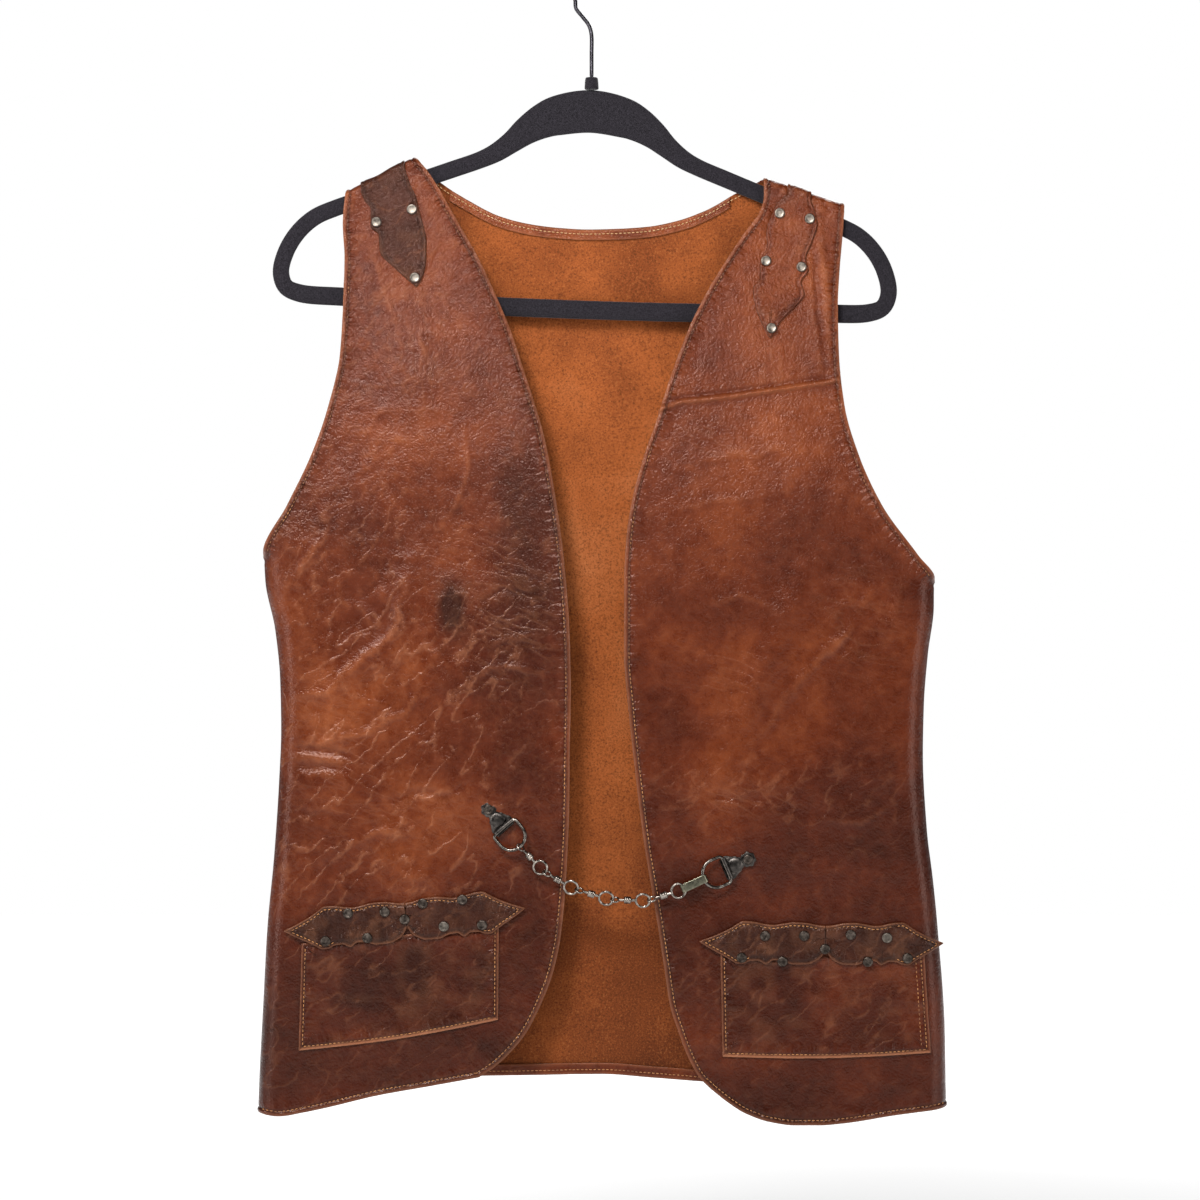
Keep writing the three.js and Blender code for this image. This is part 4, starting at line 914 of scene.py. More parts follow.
def thread(name, colour, dark):
    """Waxed polyester sewing thread: satin, soiled towards the shoulder, with fine twists as a bump."""
    material, node, shader = new_material(name)
    place = node("TexCoord", {}, "Object")
    soil = node("TexNoise", {"Vector": place, "Scale": 70, "Detail": 3})
    height = node("SeparateXYZ", {0: place}, "Z")
    clean = node("MapRange", {"Value": height, "From Min": -0.3, "From Max": -0.6,
                              "To Min": -0.2, "To Max": 0.1})
    shade = node("Math", {0: soil, 1: clean}, operation="ADD")
    twist = node("TexNoise", {"Vector": place, "Scale": 3000, "Detail": 2})
    set_inputs(shader, {
        "Base Color": node("ValToRGB", {"Fac": shade}, stops=[(0.35, dark), (0.65, colour)]),
        "Normal": node("Bump", {"Height": twist, "Strength": 0.4, "Distance": 0.0002}), "Roughness": 0.6})
    return material


flock_black = flock()
thread_pale = thread("undyed_thread", "#dcbb90", "#b48f62")
thread_tan = thread("tan_waxed_thread", "#ac7442", "#603821")
print("materials:", [material.name for material in bpy.data.materials])

# %% [markdown]
# ## Fronts and back
# Each piece is a shell of its own thickness. The two tones that the leather reads are worked out
# here: the first darkens touched places, darkens hollows and stitched grooves as painted shade and
# lightens the top as painted light; the second pales worn rims and crests, partly as a painted highlight.

# %% Where the leather is stained and creased, with its painted sheen and light
# Stains: x, z, half sizes and strength. The pale spots high on the upper straps are painted sheen.
STAINS_AND_SHEEN = {
    "front_right": [
        (-99, -470, 9, 17, -1.5), (-51, -385, 20, 60, -0.5), (-45, -560, 26, 120, -0.55),
        (-160, -545, 60, 70, 0.45), (-130, -640, 55, 45, 0.35), (-200, -690, 30, 60, 0.25),
        (-130, -735, 75, 38, -0.6), (-70, -785, 35, 20, -0.5), (-190, -800, 60, 22, -0.25),
        (-95, -250, 30, 60, -0.2), (-150, -330, 60, 60, 0.1), (-40, -700, 22, 50, -0.35)],
    "front_left": [
        (190, -400, 50, 50, 0.25), (90, -420, 60, 50, 0.1), (105, -560, 70, 60, 0.3),
        (60, -690, 22, 90, -0.25), (215, -650, 40, 60, -0.2), (120, -730, 45, 40, -0.3),
        (150, -820, 120, 16, -0.2), (140, -340, 60, 25, 0.15), (130, -255, 60, 80, 0.22)],
    "back": [(0, -420, 160, 120, 0.2), (120, -640, 80, 80, -0.3), (-130, -700, 70, 60, -0.25)],
}
# Painted light: the leather is paler towards the top and darker towards the hem, as the light from above
# falls; this is the middle and the span of that change.
PAINTED_LIGHT_MIDDLE_Z, PAINTED_LIGHT_SPAN = -560, 330
# Where the crease net shows: x, z, half sizes and strength, over a low even level.
NET_LEVEL = {"front_right": 0.3, "front_left": 0.1, "back": 0.3}
NET_ZONES = {
    "front_right": [
        (-165, -560, 80, 120, 0.8), (-70, -480, 50, 60, 0.5), (-110, -640, 90, 60, 0.4),
        (-140, -270, 60, 90, 0.3)],
    "front_left": [
        (100, -600, 50, 20, 0.6), (180, -610, 60, 40, 0.25), (70, -660, 40, 60, 0.15),
        (100, -760, 70, 40, 0.4)],
    "back": [(-120, -560, 80, 120, 0.5), (140, -600, 80, 100, 0.5)],
}
# Fine straight wrinkles: positive strengths run level, negative ones upright.
STREAKS = {
    "front_right": [
        (-56, -490, 34, 40, 0.9), (-80, -436, 40, 28, 0.6), (-186, -560, 40, 60, 0.6),
        (-120, -292, 20, 42, -0.8), (-60, -330, 24, 30, 0.5), (-110, -620, 60, 26, 0.5)],
    "front_left": [
        (102, -606, 40, 12, 0.9), (128, -300, 22, 34, -0.6), (90, -350, 40, 18, 0.5),
        (190, -480, 34, 40, 0.5), (96, -520, 40, 26, 0.4)],
    "back": [(-120, -500, 60, 80, 0.5), (110, -420, 60, 80, -0.4), (0, -700, 90, 50, 0.4)],
}


def tones(piece, x, z, distance):
    """What the leather reads at each place: tone, with stains and painted shade and light; wear, partly a
    painted highlight; and the strength of its net and wrinkles.
    """
    small = relief(piece, x, z) - broad(piece, x, z)
    around = sum(relief(piece, x + dx, z + dz) - broad(piece, x + dx, z + dz)
                 for dx, dz in ((4, 0), (-4, 0), (0, 4), (0, -4))) / 4
    raised = np.clip((small - around) / 0.6, -1, 1)
    stains = blobs(STAINS_AND_SHEEN[piece], x, z)
    # Painted shade in hollows and painted light on crests, with stains, painted sheen and a random drift.
    tone = 0.15 * raised + stains + 0.15 * value_noise(x, z, 70, 61)
    # Painted light: paler towards the top, darker towards the hem.
    tone = tone + 0.24 * (z - PAINTED_LIGHT_MIDDLE_Z) / PAINTED_LIGHT_SPAN
    # Painted shadow in the stitched groove.
    tone = tone - 0.45 * np.exp(-(((distance - STITCH_IN) / 1.1) ** 2))
    # Pale at the rims and on crests, partly from wear and partly as a painted highlight.
    wear = np.clip(raised, 0, 1) * 0.22 + 0.5 * np.exp(-((distance / 1.7) ** 2))
    clear = 1 - np.clip(-stains - 0.3, 0, 0.8)
    net = clear * (NET_LEVEL[piece] + blobs(NET_ZONES[piece], x, z))
    return {"tone": tone, "wear": wear, "net": net, "streak": clear * blobs(STREAKS[piece], x, z)}


# %% Build the main pieces
def leather_shell(name, outer, inner, material, values):
    """Closed shell between two grids, with what its leather reads on both; stands for its CAD node."""
    points, faces = wall(outer, inner)
    both = {key: np.tile(np.ravel(value + np.zeros(outer.shape[:2])), 2) for key, value in values.items()}
    thing = make_object(name + "_leather", points, turned_out(points, faces).tolist(), material, both)
    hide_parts(name)
    print(name, "faces:", len(faces))
    return thing


def near_stitches(distance):
    """Reach of the puckers: none at the rim, full just inside the stitches, gone 9 mm further in."""
    return ease((distance - 1) / 2.5) * (1 - ease((distance - STITCH_IN) / 9))


def build_piece(name, places, edges):
    """Shell of a main piece: grain side out with its turned edges, flesh side one cloth thickness in."""
    x, z = places[..., 0], places[..., 1]
    lift = np.zeros(x.shape)
    distance = np.full(x.shape, 99.0)
    run_along = np.zeros(x.shape)
    pucker = 0.35 + 0.75 * ease((z + 520) / 180)
    for k, run in enumerate(edges.values()):
        off, along = nearest_on(places, run)
        lift = lift + turned_edge(off, along, 70 + 10 * k, pucker)
        run_along = np.where(off < distance, along + 2000 * k, run_along)
        distance = np.minimum(distance, off)
    outer = on_face(name, x, z, lift)
    inner = on_face(name, x, z, -CLOTH * np.ones(x.shape) + 0.25 * np.exp(-((distance / 0.8) ** 2)))
    values = tones(name, x, z, distance)
    values["pucker"] = near_stitches(distance) * pucker
    values["along"] = run_along
    thing = leather_shell(name, outer, inner, leather_brown, values)
    thing.data.materials.append(leather_suede)
    one_face = (x.shape[0] - 1) * (x.shape[1] - 1)
    side = np.zeros(len(thing.data.polygons), np.int32)
    side[one_face:2 * one_face] = 1
    thing.data.polygons.foreach_set("material_index", side)
    return thing


fronts = {}
for side in ("right", "left"):
    name = "front_" + side
    fronts[side] = build_piece(name, front_places(side), STITCHED[name])
back = build_piece("back", back_places(), STITCHED["back"])

# %% [markdown]
# ## Sewn-on leather
# Pockets, trims and shoulder patches are separate pieces laid on the fronts and stitched round
# their edges. Each is a thin shell on the front's own function, lifted by its seam gap, so it bends
# wherever the front bends. Its edge is rounded where it was cut and dips under its stitching.

# %% Shells on a front
SEWN = {"pocket": (0.3, 1.6), "patch": (0.3, 1.6), "trim": (2.5, 1.6)}
STITCHES_IN = {"pocket": 2.6, "patch": 2.6, "trim": 2.4}
STIFF_LEAST = FULL_DEPTH["front"] * 0.8
HIDES = {"leather_brown": leather_brown, "leather_dark": leather_dark}


def stiff_face(piece, x, z, lift=0.0):
    """Points for a stiff piece: it follows the front but runs on straight over the side roll."""
    lift = np.asarray(lift) + 0 * x
    slope = np.maximum(np.abs(facing_out(piece, x, z)[..., 1]), 0.5)
    y = -np.maximum(depth(piece, x, z) + lift / slope, STIFF_LEAST + lift)
    return np.stack([x, y, z], axis=-1)


def lay_on(kind, side, x, z, lift):
    """Points of a sewn-on piece: a trim is stiff, and pockets and patches follow the front."""
    face = stiff_face if kind == "trim" else on_face
    return face("front_" + side, x, z, lift)


def cut_edge(distance, along, seed, stitch_in):
    """Height of a cut and stitched edge: rounded rim, a dip at the stitches and small puckers inside them."""
    rim = -0.7 * (1 - quarter(distance / 1.0))
    groove = -0.35 * np.exp(-(((distance - stitch_in) / 0.8) ** 2))
    bumps = value_noise(along, 0 * along, 4.5, seed)
    return rim + groove + 0.16 * bumps * np.exp(-(((distance - stitch_in) / 2.4) ** 2))


SIDE_POINTS, LEVEL_POINTS = 120, 240


def outline_lengths(outline):
    """Lengths of a pocket's left and bottom edges, which come first in its outline."""
    step = np.hypot(*np.diff(outline, axis=0).T)
    return step[:SIDE_POINTS - 1].sum(), step[SIDE_POINTS - 1:SIDE_POINTS + LEVEL_POINTS - 1].sum()


def sew_on(name, kind, side, places, outline, slot, seed):
    """Shell of a sewn-on piece, from its lift to its lift plus thickness, with what its leather reads."""
    lift, thick = SEWN[kind]
    stitch_in = STITCHES_IN[kind]
    x, z = places[..., 0], places[..., 1]
    off, along = nearest_on(places, outline)
    top = lay_on(kind, side, x, z, lift + thick + cut_edge(off, along, seed, stitch_in))
    under = lay_on(kind, side, x, z, lift * np.ones(x.shape))
    # A random drift, with painted shade darkening the stitched groove.
    tone = 0.2 * value_noise(x, z, 24, seed + 5) - 0.35 * np.exp(-(((off - stitch_in) / 1.1) ** 2))
    # Pale rims, partly from wear and partly as a painted highlight, and random worn spots.
    wear = (0.1 if kind == "patch" else 0.5) * np.exp(-((off / 1.1) ** 2))
    wear = wear + 0.15 * np.clip(value_noise(x, z, 9, seed + 6), 0, 1)
    if kind != "trim":
        # Stains with painted sheen, and painted light: paler towards the top.
        tone = tone + blobs(STAINS_AND_SHEEN["front_" + side], x, z) + 0.22 * (z - PAINTED_LIGHT_MIDDLE_Z) / PAINTED_LIGHT_SPAN
    if kind == "patch":
        # Painted shadow: a dark line along the patch's rim.
        tone = tone - 0.6 * np.exp(-((off / 0.8) ** 2))
    if kind == "pocket":
        # Painted highlight: a pale band along the pocket's bottom rim.
        left, bottom = outline_lengths(outline)
        on_bottom = (along > left) & (along < left + bottom)
        wear = wear + on_bottom * 0.8 * np.exp(-(((off - 0.9) / 1.3) ** 2))
    values = {"tone": tone, "wear": wear, "net": 0.45, "streak": 0}
    values |= {"pucker": 0.5 * near_stitches(off), "along": along}
    thing = leather_shell(name, top, under, HIDES[slot], values)
    return thing


# %% Pockets
POCKETS = {
    "pocket_right": ("right", (-205, -708), (-207.3, -784), (-66, -762), (-65.6, -696)),
    "pocket_left": ("left", (91.2, -714.8), (92.7, -788.2), (240, -785.4), (235.4, -714.2)),
}
POCKET_BOW = -2.5
outlines = {}
sewn = {}


def bowed(a, b, bow=0.0):
    """Edge from a to b that bows by a sine."""
    def edge(s):
        s = np.asarray(s, float)
        z = a[1] + (b[1] - a[1]) * s + bow * np.sin(np.pi * s)
        return np.stack([a[0] + (b[0] - a[0]) * s, z], axis=-1)
    return edge


for name, (side, tl, bl, br, tr) in POCKETS.items():
    edges = bowed(tl, tr), bowed(bl, br, POCKET_BOW), bowed(tl, bl), bowed(tr, br)
    v = crowd(74, NEAR_EDGE, NEAR_EDGE, 2.6)[0]
    u = crowd(np.full(len(v), 145.0), NEAR_EDGE, NEAR_EDGE, 2.6)
    outline = [stretch(edges[2], SIDE_POINTS), stretch(edges[1], LEVEL_POINTS),
               stretch(edges[3], SIDE_POINTS)[::-1], stretch(edges[0], LEVEL_POINTS)[::-1]]
    outlines[name] = outline
    sewn[name] = sew_on(name, "pocket", side, between(*edges, u, v), np.concatenate(outline),
                        "leather_brown", 110 + len(sewn))

# %% [markdown]
# The shoulder patches are cut free-hand, so their sides wander. Each side is a smooth curve through
# measured rows, and the top edge follows the shoulder line that it is sewn into.

# %% Shoulder patches
PATCH_RIGHT = [
    (-164, -169.3, -132.6, -154.5), (-162.2, -179.5, -129.6, -168), (-156.9, -187.6, -125, -178),
    (-156.9, -199.2, -122.2, -189.7), (-151.4, -205.3, -119.4, -199.9), (-150.4, -217.6, -117.4, -210.8),
    (-140.5, -228.4, -118.1, -227.1), (-131, -237.2, -120.4, -235.9), (-124.8, -242.4, -123.6, -242)]
PATCH_LEFT = [
    (139.4, -170.8, 156.1, -176.2), (131.8, -183, 158.7, -189.6), (124.3, -203.2, 160.5, -198.1),
    (124.7, -213.1, 157, -209.8), (119.7, -225.7, 152.3, -222.3), (119.7, -237.1, 154.2, -230.3),
    (114.5, -244.2, 149, -239.1), (116.4, -256.7, 151.1, -247.9), (121.8, -270.9, 133.5, -268),
    (126.2, -278.9, 127.4, -278.9)]
PATCH_TURN = [0.9, 1.4, 2.1, 3.0, 4.2, 6.5]


def patch_places(rows):
    """Grid down a shoulder patch: sides are smooth curves through the rows, the top follows the ridge."""
    rows = np.array(rows)
    index = np.arange(len(rows))
    t = np.linspace(1, len(rows) - 1, 46)
    left = np.stack([smooth(zip(index, rows[:, k]))(t) for k in (0, 1)], axis=-1)
    right = np.stack([smooth(zip(index, rows[:, k]))(t) for k in (2, 3)], axis=-1)
    top_left = [(rows[0, 0], ridge_z(rows[0, 0]) - down) for down in PATCH_TURN]
    top_right = [(rows[0, 2], ridge_z(rows[0, 2]) - down) for down in PATCH_TURN]
    left, right = np.concatenate([top_left, left]), np.concatenate([top_right, right])
    width = np.linalg.norm(right - left, axis=-1)
    u = crowd(width, NEAR_EDGE, NEAR_EDGE, 1.5)[..., None]
    places = left[:, None] * (1 - u) + right[:, None] * u
    top = np.array(PATCH_TURN)[:, None]
    places[:len(PATCH_TURN), :, 1] = ridge_z(places[:len(PATCH_TURN), :, 0]) - top
    return places, np.concatenate([left, right[::-1]])


PATCHES = [("right", PATCH_RIGHT, "leather_dark"), ("left", PATCH_LEFT, "leather_brown")]
for side, rows, slot in PATCHES:
    name = "shoulder_patch_" + side
    places, outline = patch_places(rows)
    sewn[name] = sew_on(name, "patch", side, places, outline, slot, 130 + len(sewn))

# %% [markdown]
# The pocket trims are stiff scalloped strips, cut in mirrored halves that meet in a notch. The
# edges of one half are measured along it, and it is turned, mirrored and stretched for each place.

# %% Pocket trims
TRIM_HALF = [
    (0.2, 3, 20.5), (3, 2.8, 25), (7, 2.2, 28), (13, 1, 30.3), (22, 0.6, 30.5), (30, 1.8, 28),
    (35.5, 2.6, 27.6), (40.6, 2.2, 30.4), (46, 1, 28), (51.3, 0.2, 28.2), (56, 0, 30), (60, 2, 30.2),
    (64, 4.6, 28), (70, 7.8, 24.4), (78, 11.4, 20), (86, 14.4, 15)]
TRIMS = [
    ("trim_right_outer", "right", -132.3, -676.3, 5.4, -1, 1.01),
    ("trim_right_inner", "right", -132.3, -676.3, 5.4, 1, 0.98),
    ("trim_left_inner", "left", 165.8, -692.6, -0.5, -1, 1.04),
    ("trim_left_outer", "left", 165.8, -692.6, -0.5, 1, 0.97)]
trim_top = smooth([(a, t) for a, t, _ in TRIM_HALF])
trim_bottom = smooth([(a, b) for a, _, b in TRIM_HALF])


def on_trim(row, along, down):
    """Places on a trim half from the distance along it from its notch and down from its top line."""
    _, _, x0, z0, tilt, toward, reach = row
    along = toward * along * reach + 0 * down
    tilt = np.radians(tilt)
    x = x0 + along * np.cos(tilt) + down * np.sin(tilt)
    return np.stack([x, z0 + along * np.sin(tilt) - down * np.cos(tilt)], axis=-1)


def trim_places(row):
    """Grid of one trim half: even steps along, and steps down that crowd at its two wavy edges."""
    along = np.linspace(0.2, 86, 90)[None, :]
    height = (trim_bottom(along) - trim_top(along)).ravel()
    v = crowd(height, NEAR_EDGE, NEAR_EDGE, 2.4).T
    return on_trim(row, along, trim_top(along) * (1 - v) + trim_bottom(along) * v)


trim_rows = {}
inward = STITCHES_IN["trim"]
for row in TRIMS:
    name, side = row[:2]
    places = trim_places(row)
    outline = np.concatenate([places[0], places[1:, -1], places[-1, ::-1]])
    tip = np.linspace(50, 83, 60)
    top_seam = np.linspace(4, 50, 80)
    near_top, near_bottom = trim_top(tip) + inward, trim_bottom(tip) - inward
    trim_rows[name] = [
        on_trim(row, tip, near_top), on_trim(row, tip, near_bottom),
        on_trim(row, top_seam, trim_top(top_seam) + inward)]
    sewn[name] = sew_on(name, "trim", side, places, outline, "leather_dark", 150 + len(sewn))

# %% [markdown]
# Inside the back two strips show: a facing under the neckline and the turned-up hem. They lie on
# the inner face of the back, so they use the back's function with a lift that is negative.

# %% Facing and hem
STRIP_THICK = 1.2
STRIP_GAP = 0.5


def strip(name, u_from, u_to, down):
    """Thin strip on the back's inner face, between two column fractions, its rows at distances down."""
    v = down / LENGTH
    top, bottom, left, right = back_edges()
    u = np.tile(np.linspace(u_from, u_to, 150), (len(v), 1))
    places = between(top, bottom, left, right, u, v)
    x, z = places[..., 0], places[..., 1]
    edge = np.minimum(v - v[0], v[-1] - v)[:, None] * LENGTH
    soft = -0.4 * (1 - quarter(edge / 0.8)) + 0.15 * value_noise(x, z, 6, 171)
    face = on_face("back", x, z, -CLOTH - STRIP_GAP - STRIP_THICK - soft)
    under = on_face("back", x, z, (-CLOTH - STRIP_GAP) * np.ones(x.shape))
    tone = 0.2 * value_noise(x, z, 12, 172) + (0.5 if name == "neck_facing" else 0.1)
    # Pale rims, partly from wear and partly as a painted highlight.
    wear = 0.5 * np.exp(-((edge / 1.2) ** 2))
    values = {"tone": tone, "wear": wear, "net": 0.3, "streak": 0, "pucker": 0, "along": x}
    thing = leather_shell(name, face, under, leather_brown, values)
    return thing


FACING_ROWS = np.array([0.5, 0.8, 1.2, 1.8, 2.6, 3.6, 4.8, 6.2, 7.2, 7.7, 8])
HEM_ROWS = LENGTH - np.array([9, 8.7, 8.2, 7.2, 6, 4.6, 3.2, 2, 1.2, 0.7, 0.4])
sewn["neck_facing"] = strip("neck_facing", 0.2, 0.8, FACING_ROWS)
sewn["back_hem"] = strip("back_hem", 0.033, 0.967, HEM_ROWS)

# %% [markdown]
# ## Stitching
# The seams are lockstitched in tan thread: short stitches that dip into the leather at each hole.
# Each stitch is a spindle of fifteen facets, tiny but real, so the light catches the row. All the
# stitches of a piece are one mesh, worked out as one array.

# %% Stitch rows
STITCH_PITCH = 3.0
STITCH_LONG = 2.3
THREAD_RADIUS = 0.38
SIDE_STEP = 0.6


def inset(run, distance, sign):
    """A run moved sideways by a distance: to its left for sign +1 and to its right for -1."""
    ahead = np.gradient(run, axis=0)
    ahead /= np.linalg.norm(ahead, axis=1, keepdims=True) + 1e-9
    return run + sign * distance * np.stack([-ahead[:, 1], ahead[:, 0]], axis=-1)


def spaced(run, pitch):
    """Places every pitch along a run, with the tangent there."""
    length = lengths_along(run)
    at = np.arange(pitch, length[-1] - pitch / 2, pitch)
    before, place, after = (
        np.stack([np.interp(at + step, length, run[:, k]) for k in (0, 1)], axis=-1)
        for step in (-0.5, 0, 0.5))
    return place, after - before


def spindles(base, along, out):
    """Closed spindles at base points: two poles and three rings of five, swelling from hole to hole."""
    along = unit(along)
    side = unit(np.cross(along, out))
    up = np.cross(side, along)
    angle = turns(5)
    stations = np.array([(-0.32, 0.8, 0.1), (0, 1.0, 0.22), (0.32, 0.8, 0.1)])
    rings = []
    for share, swell, rise in stations:
        circle = side[:, None] * np.cos(angle)[None, :, None] + up[:, None] * np.sin(angle)[None, :, None]
        middle = base + along * share * STITCH_LONG + up * rise
        rings.append(middle[:, None] + circle * THREAD_RADIUS * swell)
    poles = [(base + along * share * STITCH_LONG - up * 0.15)[:, None] for share in (-0.5, 0.5)]
    points = np.concatenate([poles[0], *rings, poles[1]], axis=1)
    k = np.arange(5)
    k2 = (k + 1) % 5
    first = np.stack([0 * k, 1 + k2, 1 + k], axis=-1)
    last = np.stack([0 * k + 16, 11 + k, 11 + k2], axis=-1)
    sides = np.concatenate([
        np.stack([1 + j + k, 1 + j + k2, 6 + j + k2, 6 + j + k], axis=-1) for j in (0, 5)])
    start = (np.arange(len(base)) * 17)[:, None, None]
    triangles = (np.concatenate([first, last])[None] + start).reshape(-1, 3)
    quads = (sides[None] + start).reshape(-1, 4)
    return points.reshape(-1, 3), triangles.tolist() + quads.tolist()


# %% Sewing along a row
def sew(name, rows, material=thread_tan):
    """One mesh of stitches: rows holds (path in x and z, function that puts places on the leather)."""
    bases, alongs, outs = [], [], []
    for path, put in rows:
        place, ahead = spaced(path, STITCH_PITCH)
        step = ahead / (np.linalg.norm(ahead, axis=1, keepdims=True) + 1e-9) * SIDE_STEP
        here, before, after = put(place), put(place - step), put(place + step)
        along = after - before
        across = put(place + step[:, ::-1] * [1, -1]) - put(place - step[:, ::-1] * [1, -1])
        out = np.cross(along, across)
        out *= np.sign(out[:, 1:2]) * -1
        bases.append(here)
        alongs.append(along)
        outs.append(unit(out))
    points, faces = spindles(np.concatenate(bases), np.concatenate(alongs), np.concatenate(outs))
    make_object(name, points, faces, material)
    print(name, "stitches:", sum(len(b) for b in bases))


def on_edge(piece, lift):
    """Function that lays places on a main piece at a lift."""
    return lambda p: on_face(piece, p[..., 0], p[..., 1], lift * np.ones(p.shape[:-1]))


# %% Sew the seams
for side, sign in (("right", -1), ("left", 1)):
    name = "front_" + side
    lift = float(turned_edge(np.array(STITCH_IN), np.array(0.0), 0)) + 0.1
    rows = [(inset(STITCHED[name]["opening"], STITCH_IN, sign), on_edge(name, lift)),
            (inset(STITCHED[name]["armhole"], STITCH_IN, -sign), on_edge(name, lift))]
    sew(name + "_stitches", rows)
STRIP_FACE = -CLOTH - STRIP_GAP - STRIP_THICK - 0.05
hem_run = inset(STITCHED["back"]["hem"], STITCH_IN, 1)
sew("back_hem_stitches", [(hem_run[20:-20], on_edge("back", STRIP_FACE))])
NECK_STITCH_DOWN = 3.2
neck_x = np.linspace(-116, 114, 500)
neck_run = np.stack([neck_x, neckline_z(neck_x) - NECK_STITCH_DOWN], axis=-1)
sew("neck_stitches", [(neck_run, on_edge("back", STRIP_FACE))], thread_pale)


def sewn_on(kind, side):
    """Function that lays places on the top of a sewn-on piece, a little into its groove."""
    top = sum(SEWN[kind]) - 0.25
    return lambda p: lay_on(kind, side, p[..., 0], p[..., 1], top * np.ones(p.shape[:-1]))


inward = STITCHES_IN["pocket"]
for name, sides in outlines.items():
    side = POCKETS[name][0]
    rows = [(inset(run, inward, 1)[3:-3], sewn_on("pocket", side)) for run in sides[:3]]
    if name == "pocket_left":
        rows.append((inset(sides[2], 2.4 * inward, 1)[6:-6], sewn_on("pocket", side)))
    sew(name + "_stitches", rows)
for name, seams in trim_rows.items():
    side = "right" if "right" in name else "left"
    sew(name + "_stitches", [(run, sewn_on("trim", side)) for run in seams])


# %% [markdown]
# ## Metal parts
# Studs, clasps and the chain are stamped or wound from nickel-plated steel. Studs are turned
# profiles, rings are tubes along a loop, and the wound barrels get their ridges from a helix.

# %% Sweeps and lathes
def sweep(path, section, closed=False, up=(0, 1, 0), swell=None):
    """Section carried along a path, square to its tangent; swell scales it, and open ends get caps."""
    path, section = np.asarray(path, float), np.asarray(section, float)
    ahead = np.roll(path, -1, axis=0) - np.roll(path, 1, axis=0)
    if not closed:
        ahead[0], ahead[-1] = path[1] - path[0], path[-1] - path[-2]
    ahead = unit(ahead)
    side = unit(np.cross(ahead, np.array(up, float)))
    over = np.cross(side, ahead)
    if section.ndim == 2:
        scale = np.ones(len(path)) if swell is None else swell
        section = section[None] * scale[:, None, None]
    points = path[:, None] + side[:, None] * section[..., :1] + over[:, None] * section[..., 1:]
    return points.reshape(-1, 3), tube_faces(len(path), section.shape[1], closed)


def tube_faces(rows, count, closed=False):
    """Quads round a tube, and a flat cap on each end unless it is closed to a ring."""
    faces = grid_faces(rows, count, around=True, closed=closed).tolist()
    if not closed:
        faces += [list(range(count)), list(range(rows * count - 1, (rows - 1) * count - 1, -1))]
    return faces


def circle(radius, sides=12):
    """Points round a circle."""
    return radius * on_circle(turns(sides))


# %% Turned parts and metal pieces
def lathe(profile, sides=24):
    """Profile of (radius, height) turned round +Z; its first and last points lie on the axis."""
    profile = np.asarray(profile, float)
    angle = turns(sides)
    inner = profile[1:-1]
    radius = inner[:, :1]
    rings = np.stack([radius * np.cos(angle), radius * np.sin(angle), inner[:, 1:] + 0 * angle], axis=-1)
    points = np.concatenate([[[0, 0, profile[0, 1]]], rings.reshape(-1, 3), [[0, 0, profile[-1, 1]]]])
    k = np.arange(sides)
    k2 = (k + 1) % sides
    last = len(points) - 1
    caps = np.concatenate([np.stack([0 * k, 1 + k, 1 + k2], axis=-1),
                           np.stack([0 * k + last, last - sides + k2, last - sides + k], axis=-1)])
    return points, caps.tolist() + grid_faces(len(inner), sides, around=True, start=1).tolist()


def superellipse(sides, flat_x, flat_y):
    """Unit oval: cosine and sine raised to powers under one, which squares its shoulders."""
    x, y = on_circle(turns(sides)).T
    return np.stack([np.sign(x) * np.abs(x) ** flat_x, np.sign(y) * np.abs(y) ** flat_y], axis=-1)


def frame_points(points, origin, x_axis, y_axis, z_axis):
    """Points of a part's own frame, carried to the vest's frame."""
    return np.asarray(origin) + np.asarray(points) @ np.array([x_axis, y_axis, z_axis])


def placed(part, *axes):
    """A part, (points, faces), carried from its own frame to the vest's."""
    return frame_points(part[0], *axes), part[1]


SHARP_ANGLE = np.radians(50)


def metal_piece(name, parts, material, node):
    """One object from several closed shells, its faces turned outwards."""
    points, faces, start = [], [], 0
    for part_points, part_faces in parts:
        points.append(part_points)
        faces += [[i + start for i in face] for face in part_faces]
        start += len(part_points)
    thing = make_object(name, np.concatenate(points), faces, material)
    work = bmesh.new()
    work.from_mesh(thing.data)
    bmesh.ops.recalc_face_normals(work, faces=work.faces)
    work.to_mesh(thing.data)
    work.free()
    thing.data.set_sharp_from_angle(angle=SHARP_ANGLE)
    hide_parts(node)
    return thing


# %% Studs
RIVET_RADIUS = 3.7
RIVET_HEIGHT = 1.6
RIVETS = {
    "rivet_patch_right_": ("right", "patch", [(-127.6, -187.5), (-152.7, -196.4), (-125.6, -236.3)]),
    "rivet_patch_left_": ("left", "patch", [
        (133.8, -190.1), (155.3, -194), (124, -224.2), (149.2, -228.4), (127.7, -272.4)]),
    "rivet_trim_right_": ("right", "trim", [
        (-172.1, -686.4), (-146.2, -685.4), (-119.4, -679.5), (-91.4, -676.8), (-132.1, -690.7),
        (-187.9, -706.2), (-158.5, -703.9), (-104.4, -695.7), (-77.3, -694.8)]),
    "rivet_trim_left_": ("left", "trim", [
        (122.7, -702.5), (150.4, -702.5), (183.2, -701.6), (208.9, -703.7), (165.1, -711.8),
        (106.2, -717.9), (135, -720.7), (195.3, -720.8), (223.4, -718.3)]),
}
BRIGHT_STUDS = [("rivet_trim_right_", 7), ("rivet_trim_left_", 3)]
